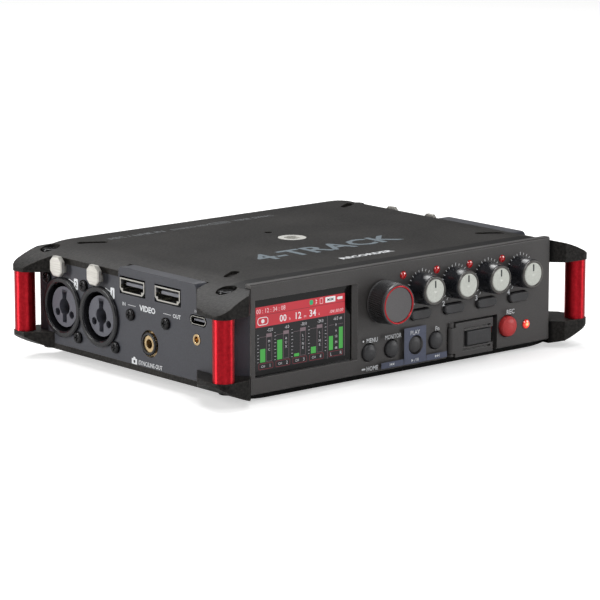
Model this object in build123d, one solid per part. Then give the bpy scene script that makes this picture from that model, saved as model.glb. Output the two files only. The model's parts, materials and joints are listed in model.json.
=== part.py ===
from build123d import *
import math
import os

os.makedirs("parts", exist_ok=True)

# ---------------------------------------------------------------- driving dimensions (mm)
EAR_X = 94.1             # half width over the corner ears
FRONT_Y = -58.0          # face of the front bezel
BODY_DEPTH = 121.0       # bezel face to rear panel face
BACK_Y = FRONT_Y + BODY_DEPTH
BODY_HEIGHT = 43.0       # bottom shell underside to top shell face
FOOT_H = 1.0             # rubber feet below the bottom shell
BODY_X = 84.0            # half width over the side panels
FLAT_X = 67.0            # half width of the flat part of each shell
ROLL_R = 48.0            # radius of the rolled shoulder beyond the flat
SHELL_T = 2.2            # shell wall
PANEL_T = 2.0            # side and rear panel wall
BEZEL_T = 3.0            # front bezel wall
BEZEL_X = 76.0           # half width of the front bezel
BEZEL_LIP = 0.5          # bezel top edge stands above the top shell
EAR_GAP = 23.6           # clear height between upper and lower ears
PILLAR_R = 4.07
PILLAR_X = 89.6
PILLAR_FRONT = FRONT_Y - 0.87
PILLAR_BACK = BACK_Y + 0.15
EAR_RIM = 0.43           # ear metal outside the pillar
SPIGOT_R = 2.5
SPIGOT_L = 1.5

BOTTOM = FOOT_H
TOP = BOTTOM + BODY_HEIGHT
MID = (BOTTOM + TOP) / 2
EAR_LO = MID - EAR_GAP / 2
EAR_HI = MID + EAR_GAP / 2
BEZEL_LO = BOTTOM + 2.4
BEZEL_HI = TOP + BEZEL_LIP
BACK_FACE = FRONT_Y + BEZEL_T

# fits
RUN = 0.35               # button, door and tab clearance each side
SHAFT_FIT = 0.05         # running shaft, radial
PIN_FIT = 0.05           # hinge pin, radial
SIT = 0.02               # loose seat of static inserts, radial

# front controls
LANE_X = 7.1             # first gain lane
LANE_PITCH = 17.2
KNOB_Z = 33.0
KNOB_R = 6.05
KNOB_TIP_R = 5.7
KNOB_PROUD = 8.7
CAP_R = 4.5
POT_SHAFT_R = 3.0
PEAK_X = -1.5
PEAK_Z = 38.9
PEAK_R = 1.5
LANE_BTN_Z = 22.9
LANE_BTN_W = 10.1
LANE_BTN_H = 3.7
ROUND_BTN_X = -18.7
ROUND_BTN_PITCH = 11.36
ROUND_BTN_Z = 11.5
ROUND_BTN_R = 3.3
DIAL_X = -12.1
DIAL_Z = 30.3
DIAL_R = 8.3
DIAL_TIP_R = 7.8
DIAL_PROUD = 9.65
DIAL_PRESS = 0.5
REC_X = 53.2
REC_Z = 11.9
REC_R = 4.05
REC_LED_X = 63.5
REC_LED_Z = 11.3
REC_LED_R = 1.85
BTN_PROUD = 1.5
BTN_TRAVEL = 0.8
SCREEN = (-72.2, -28.9, 11.96, 35.55)
WINDOW = (-74.0, -26.0, 9.5, 38.5)
DOOR = (21.8, 44.6, 3.6, 16.8)
DOOR_PROUD = 1.5
DOOR_GAP_X = 48.0
CARD_X0 = 23.0
BOARD_Y = FRONT_Y + 5.8

# side connectors
JACK_Y = (BACK_Y - 40.72, BACK_Y - 17.22)   # the jacks keep to the rear corner
JACK_Z = MID - 1.0
JACK_BODY_R = 10.4
JACK_LIP = 1.4             # ring stands wider than the body
JACK_WALL = 0.9            # body wall round the bore
JACK_MOAT = 1.6            # free ring between bore and core
JACK_RING_R = JACK_BODY_R + JACK_LIP
JACK_BORE_R = JACK_BODY_R - JACK_WALL
JACK_CORE_R = JACK_BORE_R - JACK_MOAT
JACK_PLATE = (23.3, 25.6)
TRS_R = 3.25
PIN_RIM = 1.2              # core wall outside the pin holes
PIN_WEB = 0.45             # core wall between pin holes and centre bore
PIN_R = (JACK_CORE_R - TRS_R - PIN_RIM - PIN_WEB) / 2
JACK_SCREW = (9.86, 10.41)
TAB_W = 7.5
TAB_Z = (JACK_Z + 12.4, JACK_Z + 20.2)
TAB_TRAVEL = 1.4
HDMI_Y = (1.95, -19.4)
HDMI_Z = 35.9
HDMI_CUT = (15.7, 6.8)
USB_Y = -37.4
USB_Z = 29.2
MINI_Y = -8.3
MINI_Z = 15.8
MINI_R = 1.8
LOCK_Y = -36.6
LOCK_Z = 22.0
RAISED = (-36.4, 10.6)
RAISED_Z = TOP - 1.3
RAISED_X = 78.0
SEAM_DROP = 5.4            # height of each shell turned down over the panels
SEAM_HI = TOP - SEAM_DROP
SHORT_SCREW = ((2.9, 25.2), (-18.5, 25.2))

# top, bottom and rear
TRIPOD_Y = 8.4
TRIPOD_R = 3.175
PIN_HOLE_Y = 23.0
EAR_SCREWS = ((80.3, FRONT_Y + 8.7), (79.5, BACK_Y - 3.1))
EAR_BITE = 0.3             # ear screw shank beyond the ear height
SLOTS = ((65.8, FRONT_Y + 23.3), (66.0, BACK_Y - 12.4))
FEET = ((52.0, FRONT_Y + 16.0), (52.0, BACK_Y - 13.0))
CELL_R = 7.1
CELL_X = (-22.5, -7.5, 7.5, 22.5)
CELL_Z = 20.0
CELL_Y = (BACK_Y - 54.4, BACK_Y - 4.4)
BAT_OPEN = (34.0, 9.5, 30.5)
BAT_HINGE = (BACK_Y - 1.1, 11.2)
POSTS = ((-50.0, FRONT_Y + 28.0), (50.0, FRONT_Y + 40.0), (-44.0, BACK_Y - 8.0), (44.0, BACK_Y - 8.0))
BRD_Z = 30.8
BRD_T = 1.6
HP_KNOB = (-36.0, 26.0)
HP_KNOB_R = 5.0
SWITCH = (-19.0, 33.0)
SEAM_LO = BOTTOM + SEAM_DROP


# ---------------------------------------------------------------- helpers
def box(x0, x1, y0, y1, z0, z1):
    """Axis aligned block from its six bounds."""
    size = Box(abs(x1 - x0), abs(y1 - y0), abs(z1 - z0))
    return Pos((x0 + x1) / 2, (y0 + y1) / 2, (z0 + z1) / 2) * size


def rod_x(x0, x1, y, z, r):
    """Cylinder along X between two stations."""
    return Pos((x0 + x1) / 2, y, z) * Rot(0, 90, 0) * Cylinder(r, abs(x1 - x0))


def rod_y(x, y0, y1, z, r):
    """Cylinder along Y between two stations."""
    return Pos(x, (y0 + y1) / 2, z) * Rot(90, 0, 0) * Cylinder(r, abs(y1 - y0))


def rod_z(x, y, z0, z1, r):
    """Cylinder along Z between two stations."""
    return Pos(x, y, (z0 + z1) / 2) * Cylinder(r, abs(z1 - z0))


def turned_y(x, z, profile):
    """Solid of revolution about the Y line through (x, z); profile is (radius, y)."""
    face = make_face(Polyline(*[(r, y) for r, y in profile], close=True))
    return Pos(x, 0, z) * revolve(face, Axis.Y)


def turned_x(y, z, profile):
    """Solid of revolution about the X line through (y, z); profile is (x, radius)."""
    face = make_face(Polyline(*[(x, r) for x, r in profile], close=True))
    return Pos(0, y, z) * revolve(face, Axis.X)


def prism(points, z0, z1):
    """Vertical prism over a plan outline."""
    face = make_face(Polyline(*points, close=True))
    return Pos(0, 0, z0) * extrude(face, z1 - z0)


def pill_y(x, z, w, h, y0, y1):
    """Stadium shaped bar along Y, long side along X."""
    r = h / 2
    body = box(x - w / 2 + r, x + w / 2 - r, y0, y1, z - r, z + r)
    return body + rod_y(x - w / 2 + r, y0, y1, z, r) + rod_y(x + w / 2 - r, y0, y1, z, r)


def mirrored(shape):
    """Copy on the other side of the centre plane."""
    return mirror(shape, about=Plane.YZ)


def flipped(shape):
    """Copy turned over the middle height of the body."""
    return mirror(shape, about=Plane.XY.offset(MID))


def both_sides(points):
    """Points on the right and their twins on the left."""
    return [(s * x, y) for x, y in points for s in (1, -1)]


def save(name, shape):
    """Write one node; several loose solids become one compound."""
    solids = shape.solids()
    out = solids[0] if len(solids) == 1 else Compound(children=list(solids))
    export_step(out, f"parts/{name}.step")


def roll_drop(x, inset=0.0):
    """Height lost by the rolled shoulder at half width x."""
    run = max(0.0, abs(x) - FLAT_X)
    r = ROLL_R - inset
    return r - math.sqrt(r * r - run * run)


# ---------------------------------------------------------------- body envelope
def envelope(inset, reach, y0, y1):
    """Body cross-section extruded along Y, walls moved in by inset."""
    z1 = TOP - inset
    z0 = BOTTOM + inset
    half = (FLAT_X + reach) / 2
    end_z = roll_drop(reach, inset)
    mid_z = roll_drop(half, inset)
    right = [
        Line((-FLAT_X, z1), (FLAT_X, z1)),
        ThreePointArc((FLAT_X, z1), (half, z1 - mid_z), (reach, z1 - end_z)),
        Line((reach, z1 - end_z), (reach, z0 + end_z)),
        ThreePointArc((reach, z0 + end_z), (half, z0 + mid_z), (FLAT_X, z0)),
        Line((FLAT_X, z0), (-FLAT_X, z0)),
        ThreePointArc((-FLAT_X, z0), (-half, z0 + mid_z), (-reach, z0 + end_z)),
        Line((-reach, z0 + end_z), (-reach, z1 - end_z)),
        ThreePointArc((-reach, z1 - end_z), (-half, z1 - mid_z), (-FLAT_X, z1)),
    ]
    face = make_face(right)
    solid = extrude(face, y1 - y0)
    return Pos(0, y1, 0) * Rot(90, 0, 0) * solid


EAR_END = PILLAR_R + EAR_RIM
FRONT_EAR = [
    (BEZEL_X + 0.1, FRONT_Y),
    (80.6, FRONT_Y - 4.6),
    (PILLAR_X, PILLAR_FRONT - EAR_END),
    (PILLAR_X, PILLAR_FRONT),
    (EAR_X, PILLAR_FRONT),
    (94.0, FRONT_Y + 3.5),
    (92.4, FRONT_Y + 11.0),
    (BODY_X, FRONT_Y + 21.4),
    (BEZEL_X + 0.1, FRONT_Y + 21.4),
]
REAR_EAR = [
    (BEZEL_X + 0.1, BACK_Y),
    (80.6, BACK_Y + 4.2),
    (PILLAR_X, PILLAR_BACK + EAR_END),
    (PILLAR_X, PILLAR_BACK),
    (EAR_X, PILLAR_BACK),
    (93.4, BACK_Y - 4.0),
    (BODY_X, BACK_Y - 11.3),
    (BEZEL_X + 0.1, BACK_Y - 11.3),
]
PANEL_Y = (FRONT_Y + 21.5, BACK_Y - 11.4)


def ear_plan(points, pillar_y, z0, z1):
    """One ear outline as a vertical prism, rounded around its pillar."""
    return prism(points, z0, z1) + rod_z(PILLAR_X, pillar_y, z0, z1, EAR_END)


def build_shell_upper():
    """Top half skin with its four ears, without top-only details."""
    outer = envelope(0, EAR_X, FRONT_Y - 8, BACK_Y + 8)
    z0 = EAR_HI
    z1 = TOP + 1
    plan = box(-BODY_X, BODY_X, PANEL_Y[0] - 0.1, PANEL_Y[1] + 0.1, z0, z1)
    plan += box(-BEZEL_X - 0.1, BEZEL_X + 0.1, BACK_FACE, BACK_Y, z0, z1)
    ears = ear_plan(FRONT_EAR, PILLAR_FRONT, z0, z1) + ear_plan(REAR_EAR, PILLAR_BACK, z0, z1)
    plan += ears + mirrored(ears)
    shell = outer & plan
    room = envelope(SHELL_T, 81.9, PANEL_Y[0], PANEL_Y[1])
    room += envelope(SHELL_T, BEZEL_X - 0.6, BACK_FACE - 1, BACK_Y - PANEL_T)
    shell -= room
    for side in (1, -1):
        shell -= box(side * 81.9, side * (BODY_X + 0.1), PANEL_Y[0], PANEL_Y[1], z0 - 1, SEAM_HI)
    shell -= box(-BEZEL_X, BEZEL_X, BACK_Y - PANEL_T, BACK_Y + 0.1, z0 - 1, SEAM_HI)
    for x, y in both_sides(EAR_SCREWS):
        seat = TOP - roll_drop(x) - 1.6
        shell -= rod_z(x, y, seat, TOP + 1, 3.85)
        shell -= rod_z(x, y, z0 - 1, seat, 1.6)
    for y in (PILLAR_FRONT, PILLAR_BACK):
        for side in (1, -1):
            shell -= rod_z(side * PILLAR_X, y, z0 - 1, z0 + SPIGOT_L + 0.1, SPIGOT_R + SIT)
    boss = rod_z(0, TRIPOD_Y, TOP - 6.4, TOP - 0.1, 7.0)
    shell += boss
    shell -= rod_z(0, TRIPOD_Y, TOP - 7, TOP + 1, 4.5)
    shell -= rod_z(0, TRIPOD_Y, TOP - 0.4, TOP + 1, 5.6)
    return shell


upper = build_shell_upper()

# top shell: raised panel notch, strap slots, alignment hole and sloping front band
top_shell = upper
for side in (1, -1):
    top_shell -= box(side * RAISED_X, side * 96, RAISED[0] - 0.1, RAISED[1] + 0.1, EAR_HI - 4.3, TOP + 16.0)
for x, y in both_sides(SLOTS):
    turn = math.degrees(math.atan2(TRIPOD_Y - y, -x))
    slot = Pos(x, y, TOP) * Rot(0, 0, turn) * Box(8.5, 3.5, 2.4)
    for end in (-4.25, 4.25):
        slot += Pos(x, y, TOP) * Rot(0, 0, turn) * Pos(end, 0, 0) * Cylinder(1.75, 2.4)
    top_shell -= slot
top_shell -= rod_z(0, PIN_HOLE_Y, TOP - 4, TOP + 1, 1.6)
band = make_face(Polyline((BACK_FACE - 1, TOP - 0.8), (BACK_FACE + 8, TOP), (BACK_FACE + 8, TOP + 1),
                          (BACK_FACE - 1, TOP + 1), close=True))
band_cut = Pos(-BEZEL_X, 0, 0) * Rot(90, 0, 90) * extrude(band, 2 * BEZEL_X)
top_shell -= band_cut
save("top_shell", top_shell)

# bottom shell: the same skin turned over, with board posts
bottom_shell = flipped(upper)
for x, y in POSTS:
    bottom_shell += rod_z(x, y, BOTTOM + 1, BRD_Z, 3.0)
    bottom_shell -= rod_z(x, y, BRD_Z - 8, BRD_Z + 1, 1.25)
for side in (1, -1):
    rail = box(side * RAISED_X, side * 81.8, RAISED[0], RAISED[1], BOTTOM + 2.0, 4.6)
    bottom_shell += rail & envelope(0.5, 90, -60, 60)
save("bottom_shell", bottom_shell)

# ---------------------------------------------------------------- corner pillars and ear screws
pillars = []
for y in (PILLAR_FRONT, PILLAR_BACK):
    for side in (1, -1):
        post = rod_z(side * PILLAR_X, y, EAR_LO, EAR_HI, PILLAR_R)
        post += rod_z(side * PILLAR_X, y, EAR_LO - SPIGOT_L, EAR_HI + SPIGOT_L, SPIGOT_R)
        pillars.append(post)
save("corner_pillars", Compound(children=pillars))


def cross_screw(head_r, head_h, shank_r, length):
    """Pan head screw standing on its shank end, head underside at z = 0."""
    head = Pos(0, 0, head_h / 2) * Cylinder(head_r, head_h)
    head = fillet(head.edges().group_by(Axis.Z)[-1], head_h * 0.55)
    shank = Pos(0, 0, -length / 2) * Cylinder(shank_r, length)
    drive = Pos(0, 0, head_h) * (Box(head_r * 1.1, 0.7, 1.1) + Box(0.7, head_r * 1.1, 1.1))
    return head + shank - drive


EAR_SCREW = cross_screw(3.2, 1.3, 1.5, TOP - EAR_HI + EAR_BITE)
ear_screws = []
for x, y in both_sides(EAR_SCREWS):
    seat = TOP - roll_drop(x) - 1.6
    ear_screws.append(Pos(x, y, seat) * EAR_SCREW)
    ear_screws.append(Pos(x, y, 2 * MID - seat) * Rot(180, 0, 0) * EAR_SCREW)
save("ear_screws", Compound(children=ear_screws))

# ---------------------------------------------------------------- side panels
PANEL_PATH = [
    (BEZEL_X, FRONT_Y + 0.6),
    (BODY_X, FRONT_Y + 10.0),
    (BODY_X, BACK_Y - 2.3),
    (BEZEL_X + 0.2, BACK_Y),
]


def build_side_panel():
    """Right-hand panel blank: folded plate, full-height field, raised shelf and corner bosses."""
    outer = prism(PANEL_PATH + [(60, BACK_Y), (60, FRONT_Y + 0.6)], EAR_LO, EAR_HI)
    inner = [
        (BEZEL_X, FRONT_Y + 3.6),
        (BODY_X - PANEL_T, FRONT_Y + 10.8),
        (BODY_X - PANEL_T, BACK_Y - 3.6),
        (BEZEL_X + 0.2, BACK_Y - PANEL_T),
        (50, BACK_Y - PANEL_T),
        (50, FRONT_Y + 3.6),
    ]
    plate = outer - prism(inner, EAR_LO - 1, EAR_HI + 1)
    plate &= box(BEZEL_X, 90, FRONT_Y, BACK_Y, 0, TOP + 6.0)
    field = box(BODY_X - PANEL_T, BODY_X, PANEL_Y[0], PANEL_Y[1], SEAM_LO, SEAM_HI)
    raised = box(BODY_X - PANEL_T, BODY_X, RAISED[0], RAISED[1], SEAM_HI - 1, RAISED_Z)
    shelf = box(RAISED_X + 0.1, BODY_X, RAISED[0], RAISED[1], RAISED_Z - 1.6, RAISED_Z)
    corner = (raised + shelf).edges().filter_by(Axis.X).group_by(Axis.Z)[-1]
    cap = fillet(corner, 2.4)
    panel = plate + field + cap
    for x, y in EAR_SCREWS:
        panel += rod_z(x, y, EAR_LO, EAR_HI, 2.9)
    for x, y in EAR_SCREWS:
        panel -= rod_z(x, y, EAR_LO - 1, EAR_HI + 1, 1.5)
    for y in JACK_Y:
        panel -= rod_x(80, 86, y, JACK_Z, JACK_BODY_R + SIT)
        slot_lo = TAB_Z[0] + 1.3
        panel -= box(80, 86, y - 1.9 - RUN, y + 1.9 + RUN, slot_lo - RUN, slot_lo + 2.4 + RUN)
        for s in (1, -1):
            panel -= rod_x(80, 86, y + s * JACK_SCREW[0], JACK_Z + s * JACK_SCREW[1], 1.3)
    panel -= rod_x(80, 86, MINI_Y, MINI_Z, 5.2)
    return panel


blank = build_side_panel()
left_panel = mirrored(blank)
for y in HDMI_Y:
    left_panel -= box(-86, -80, y - HDMI_CUT[0] / 2, y + HDMI_CUT[0] / 2,
                      HDMI_Z - HDMI_CUT[1] / 2, HDMI_Z + HDMI_CUT[1] / 2)
for y, z in SHORT_SCREW:
    left_panel -= rod_x(-86, -80, y, z, 1.3)
usb_cut = box(-86, -80, USB_Y - 3.0, USB_Y + 3.0, USB_Z - 2.0, USB_Z + 2.0)
for s in (1, -1):
    usb_cut += rod_x(-86, -80, USB_Y + s * 3.0, USB_Z, 2.0)
left_panel -= usb_cut
left_panel -= rod_x(-86, -80, LOCK_Y, LOCK_Z, 2.1)
save("left_panel", left_panel)

right_panel = blank
right_panel -= rod_x(80, 86, HP_KNOB[0], HP_KNOB[1], 3.9)
right_panel -= box(80, 86, SWITCH[0] - 4.6, SWITCH[0] + 4.6, SWITCH[1] - 1.9, SWITCH[1] + 1.9)
save("right_panel", right_panel)

# ---------------------------------------------------------------- rear panel, battery bay
rear = box(-BEZEL_X, BEZEL_X, BACK_Y - PANEL_T, BACK_Y, 2 * MID - SEAM_HI, SEAM_HI)
bx, bz0, bz1 = BAT_OPEN
rear -= box(-bx, bx, BACK_Y - 5, BACK_Y + 1, bz0, bz1)
rear -= box(-3.6, 3.6, BACK_Y - 1.6, BACK_Y + 1, bz1 - 1, bz1 + 1.6)
rear -= rod_x(-bx - 1.7, bx + 1.7, BAT_HINGE[0], BAT_HINGE[1], 0.6 + PIN_FIT)
save("rear_panel", rear)

battery_door = box(-bx + RUN, bx - RUN, BAT_HINGE[0] - 0.9, BACK_Y - 0.2, BAT_HINGE[1], bz1 - RUN)
battery_door += rod_x(-bx + RUN, bx - RUN, BAT_HINGE[0], BAT_HINGE[1], 0.9)
battery_door += rod_x(-bx - 1.4, bx + 1.4, BAT_HINGE[0], BAT_HINGE[1], 0.6)
battery_door -= box(-6.5, 6.5, BACK_Y - 1.0, BACK_Y + 1, 21.6, bz1 + 1)
save("battery_door", battery_door)

door_latch = box(-6.1, 6.1, BACK_Y - 0.65, BACK_Y + 0.15, 24.0, bz1 - 0.8)
door_latch += box(-3.2, 3.2, BACK_Y - 0.65, BACK_Y + 0.15, bz1 - 0.9, bz1 + 1.2)
for i in range(4):
    z = 24.7 + i * 1.3
    door_latch += box(-4.5, 4.5, BACK_Y + 0.1, BACK_Y + 0.6, z, z + 0.6)
save("battery_door_latch", door_latch)

tray = box(-32.5, 32.5, CELL_Y[0] - 2.2, BACK_Y - PANEL_T - 0.5, 11.0, 29.0)
for x in CELL_X:
    tray -= rod_y(x, CELL_Y[0] - 0.1, BACK_Y, CELL_Z, CELL_R + 0.15)
    tray -= box(x - 4.5, x + 4.5, CELL_Y[0] + 6, BACK_Y - 8, 20, 40)
for x in (-28, 28):
    for y in (CELL_Y[0] + 6.4, CELL_Y[1] - 4.6):
        tray += box(x - 3, x + 3, y - 3, y + 3, BOTTOM + SHELL_T, 11.4)
save("battery_tray", tray)

cells = []
for i, x in enumerate(CELL_X):
    y0, y1 = CELL_Y
    cell = rod_y(x, y0 + 1.0, y1, CELL_Z, CELL_R) + rod_y(x, y0 - 0.1, y0 + 1.1, CELL_Z, 2.6)
    cells.append(cell)
save("batteries", Compound(children=cells))

# ---------------------------------------------------------------- tripod sockets, feet
sockets = []
for flip in (False, True):
    insert = rod_z(0, TRIPOD_Y, TOP - 6.4, TOP, 4.5) + rod_z(0, TRIPOD_Y, TOP - 0.4, TOP, 5.6)
    insert -= rod_z(0, TRIPOD_Y, TOP - 5.6, TOP + 1, TRIPOD_R)
    sockets.append(flipped(insert) if flip else insert)
save("tripod_sockets", Compound(children=sockets))

feet = []
for x, y in both_sides(FEET):
    pad = rod_z(x, y, 0, FOOT_H, 5.5)
    feet.append(fillet(pad.edges().group_by(Axis.Z)[0], 0.4))
save("feet", Compound(children=feet))

# ---------------------------------------------------------------- front bezel
bezel = box(-BEZEL_X, BEZEL_X, FRONT_Y, BACK_FACE, BEZEL_LO, BEZEL_HI)
bezel = chamfer(bezel.edges().filter_by(Axis.X).group_by(Axis.Y)[0], 0.5)
wx0, wx1, wz0, wz1 = WINDOW
bezel -= box(wx0, wx1, FRONT_Y - 1, BACK_FACE + 1, wz0, wz1)
bezel -= box(wx0 - 1, wx1 + 1, FRONT_Y + 1.8, BACK_FACE + 1, wz0 - 1, wz1 + 1)
low = make_face(Polyline((FRONT_Y - 0.2, wz0 - 3.6), (FRONT_Y, wz0 - 3.6), (FRONT_Y + 1.3, wz0 - 0.1),
                         (FRONT_Y + 1.3, wz0 + 0.5), (FRONT_Y - 0.2, wz0 + 0.5), close=True))
bezel -= Pos(wx0, 0, 0) * Rot(90, 0, 90) * extrude(low, wx1 - wx0 + 1.2)
side_cut = prism([(wx1 - 0.5, FRONT_Y - 0.2), (wx1 + 1.8, FRONT_Y - 0.2), (wx1 + 1.8, FRONT_Y),
                  (wx1 + 0.1, FRONT_Y + 1.3), (wx1 - 0.5, FRONT_Y + 1.3)], wz0 - 0.1, wz1)
bezel -= side_cut
lanes = [LANE_X + i * LANE_PITCH for i in range(4)]
peaks = [PEAK_X + i * LANE_PITCH for i in range(4)]
rounds = [ROUND_BTN_X + i * ROUND_BTN_PITCH for i in range(4)]
for x in lanes:
    bezel -= rod_y(x, FRONT_Y - 1, BACK_FACE + 1, KNOB_Z, 3.9)
    bezel -= pill_y(x, LANE_BTN_Z, LANE_BTN_W + 2 * RUN, LANE_BTN_H + 2 * RUN, FRONT_Y - 1, BACK_FACE + 1)
for x in peaks:
    bezel -= rod_y(x, FRONT_Y - 1, BACK_FACE + 1, PEAK_Z, PEAK_R + SIT)
for x in rounds:
    bezel -= rod_y(x, FRONT_Y - 1, BACK_FACE + 1, ROUND_BTN_Z, ROUND_BTN_R + RUN)
bezel -= rod_y(DIAL_X, FRONT_Y - 1, BACK_FACE + 1, DIAL_Z, 4.4)
bezel -= rod_y(REC_X, FRONT_Y - 1, BACK_FACE + 1, REC_Z, REC_R + RUN)
bezel -= rod_y(REC_LED_X, FRONT_Y - 1, BACK_FACE + 1, REC_LED_Z, REC_LED_R + SIT)
dx0, dx1, dz0, dz1 = DOOR
HINGE_X = dx0 + 1.3
HINGE_Y = FRONT_Y - DOOR_PROUD + 1.3
bezel -= box(dx0 - 0.4, DOOR_GAP_X, FRONT_Y - 1, BACK_FACE + 1, BEZEL_LO - 1, dz1 + 0.4)
for z0, z1, p0, p1 in ((BEZEL_LO + 0.6, dz0 + 1.3, dz0 + 1.2, dz0 + 3.3), (dz1 - 1.3, dz1 + 0.5, dz1 - 3.3, dz1 - 1.2)):
    arm = rod_z(HINGE_X, HINGE_Y, z0, z1, 1.15)
    arm += box(HINGE_X - 1.15, HINGE_X + 1.15, HINGE_Y, BACK_FACE, z0, z1)
    arm += box(dx0 - 1.0, HINGE_X, FRONT_Y + 0.2, BACK_FACE, z0, z1)
    arm += rod_z(HINGE_X, HINGE_Y, p0, p1, 0.6)
    bezel += arm
save("front_bezel", bezel)

lens = box(wx0 - 1, wx1 + 1, FRONT_Y + 1.8, BACK_FACE, wz0 - 1, wz1 + 1)
save("display_lens", lens)

lcd = box(wx0, wx1, BACK_FACE, BOARD_Y - 0.4, wz0, wz1)
lcd += box(SCREEN[0] + 4, SCREEN[1] - 4, BOARD_Y - 0.5, BOARD_Y + 0.2, 14, 32)
save("lcd_module", lcd)

# ---------------------------------------------------------------- boards
control = box(wx1 + 1.2, BEZEL_X - 1.5, BOARD_Y, BOARD_Y + 1.6, 6.0, 41.0)
control -= box(dx0 - 2, DOOR_GAP_X + 1, BOARD_Y - 1, BOARD_Y + 3, 5, dz1 + 1.2)
for x, z in [(x, KNOB_Z) for x in lanes] + [(DIAL_X, DIAL_Z)]:
    control -= rod_y(x, BOARD_Y - 1, BOARD_Y + 3, z, 2.0)
save("control_board", control)

main = box(-54, 54, FRONT_Y + 14, BACK_Y - 5.0, BRD_Z, BRD_Z + BRD_T)
main += box(-81.4, -53, -42.0, 9.0, BRD_Z, BRD_Z + BRD_T)
for x, y in POSTS:
    main -= rod_z(x, y, BRD_Z - 1, BRD_Z + 3, 1.7)
main -= box(-83, -76.5, -52, -41, BRD_Z - 1, BRD_Z + 3)
main += box(-20, 6, -20, 6, BRD_Z + 1.5, BRD_Z + 3.2)
main += box(20, 38, -30, -12, BRD_Z + 1.5, BRD_Z + 2.8)
main += box(16, 40, 30, 48, BRD_Z + 1.5, BRD_Z + 4.4)
save("main_board", main)

# ---------------------------------------------------------------- gain lanes
pots = []
for x in lanes:
    pot = box(x - 5.2, x + 5.2, BOARD_Y + 1.6, BOARD_Y + 7.4, KNOB_Z - 5.6, KNOB_Z + 5.6)
    pot += rod_y(x, BOARD_Y - 0.1, BOARD_Y + 2.0, KNOB_Z, 2.0)
    pot += rod_y(x, BACK_FACE - 0.6, BOARD_Y, KNOB_Z, 3.6)
    pot += rod_y(x, FRONT_Y - KNOB_PROUD + 3.0, BOARD_Y, KNOB_Z, POT_SHAFT_R)
    pots.append(pot)
save("gain_pots", Compound(children=pots))

for i, x in enumerate(lanes):
    tip = FRONT_Y - KNOB_PROUD
    knob = turned_y(x, KNOB_Z, [
        (0, FRONT_Y - 0.4), (KNOB_R, FRONT_Y - 0.4), (KNOB_R, FRONT_Y - 1.6), (KNOB_TIP_R, tip + 0.7),
        (KNOB_TIP_R - 0.35, tip + 0.25), (CAP_R + 0.3, tip + 0.05), (CAP_R + SIT, tip + 0.05),
        (CAP_R + SIT, tip + 0.8), (0, tip + 0.8),
    ])
    knob -= rod_y(x, FRONT_Y, tip + 2.6, KNOB_Z, POT_SHAFT_R + SHAFT_FIT)
    save(f"gain_knob_{i + 1}", knob)
    cap = turned_y(x, KNOB_Z, [
        (0, tip + 0.8), (CAP_R, tip + 0.8), (CAP_R, tip + 0.1), (CAP_R - 0.3, tip - 0.12), (0, tip - 0.2),
    ])
    cap -= box(x - 0.35, x + 0.35, tip - 1, tip + 0.1, KNOB_Z + 1.2, KNOB_Z + 3.9)
    save(f"gain_cap_{i + 1}", cap)


def flange_button(head, flange, stem):
    """Button body: visible head, retaining flange behind the bezel and switch stem."""
    return head + flange + stem


FLANGE_Y = BACK_FACE + RUN
for i, x in enumerate(lanes):
    face = FRONT_Y - BTN_PROUD
    head = pill_y(x, LANE_BTN_Z, LANE_BTN_W, LANE_BTN_H, face, FLANGE_Y + 0.3)
    head = chamfer(head.edges().group_by(Axis.Y)[0], 0.35)
    flange = pill_y(x, LANE_BTN_Z, LANE_BTN_W + 2.0, LANE_BTN_H + 2.0, FLANGE_Y, FLANGE_Y + 0.7)
    stem = rod_y(x, FLANGE_Y, BOARD_Y - BTN_TRAVEL - 0.4, LANE_BTN_Z, 1.2)
    save(f"input_button_{i + 1}", flange_button(head, flange, stem))

for name, x in zip(("menu_button", "monitor_button", "play_button", "fn_button"), rounds):
    head = turned_y(x, ROUND_BTN_Z, [
        (0, FLANGE_Y + 0.3), (ROUND_BTN_R, FLANGE_Y + 0.3), (ROUND_BTN_R, FRONT_Y - 0.5),
        (ROUND_BTN_R * 0.92, FRONT_Y - 0.95), (ROUND_BTN_R * 0.7, FRONT_Y - 1.3),
        (ROUND_BTN_R * 0.4, FRONT_Y - 1.5), (0, FRONT_Y - 1.56),
    ])
    flange = rod_y(x, FLANGE_Y, FLANGE_Y + 0.7, ROUND_BTN_Z, ROUND_BTN_R + 1.0)
    stem = rod_y(x, FLANGE_Y, BOARD_Y - BTN_TRAVEL - 0.4, ROUND_BTN_Z, 1.2)
    save(name, flange_button(head, flange, stem))

head = turned_y(REC_X, REC_Z, [
    (0, FLANGE_Y + 0.3), (REC_R, FLANGE_Y + 0.3), (REC_R, FRONT_Y - 1.0), (REC_R * 0.93, FRONT_Y - 1.7),
    (REC_R * 0.72, FRONT_Y - 2.25), (REC_R * 0.4, FRONT_Y - 2.6), (0, FRONT_Y - 2.7),
])
flange = rod_y(REC_X, FLANGE_Y, FLANGE_Y + 0.7, REC_Z, REC_R + 1.0)
stem = rod_y(REC_X, FLANGE_Y, BOARD_Y - BTN_TRAVEL - 0.4, REC_Z, 1.2)
save("record_button", flange_button(head, flange, stem))

lenses = []
for x, z, r, proud in [(x, PEAK_Z, PEAK_R, 0.7) for x in peaks] + [(REC_LED_X, REC_LED_Z, REC_LED_R, 0.9)]:
    lenses.append(turned_y(x, z, [
        (0, BACK_FACE + 0.6), (r + 0.6, BACK_FACE + 0.6), (r + 0.6, BACK_FACE), (r, BACK_FACE),
        (r, FRONT_Y - proud * 0.3), (r * 0.75, FRONT_Y - proud * 0.8), (r * 0.35, FRONT_Y - proud),
        (0, FRONT_Y - proud * 1.05),
    ]))
save("indicator_lenses", Compound(children=lenses))

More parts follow.
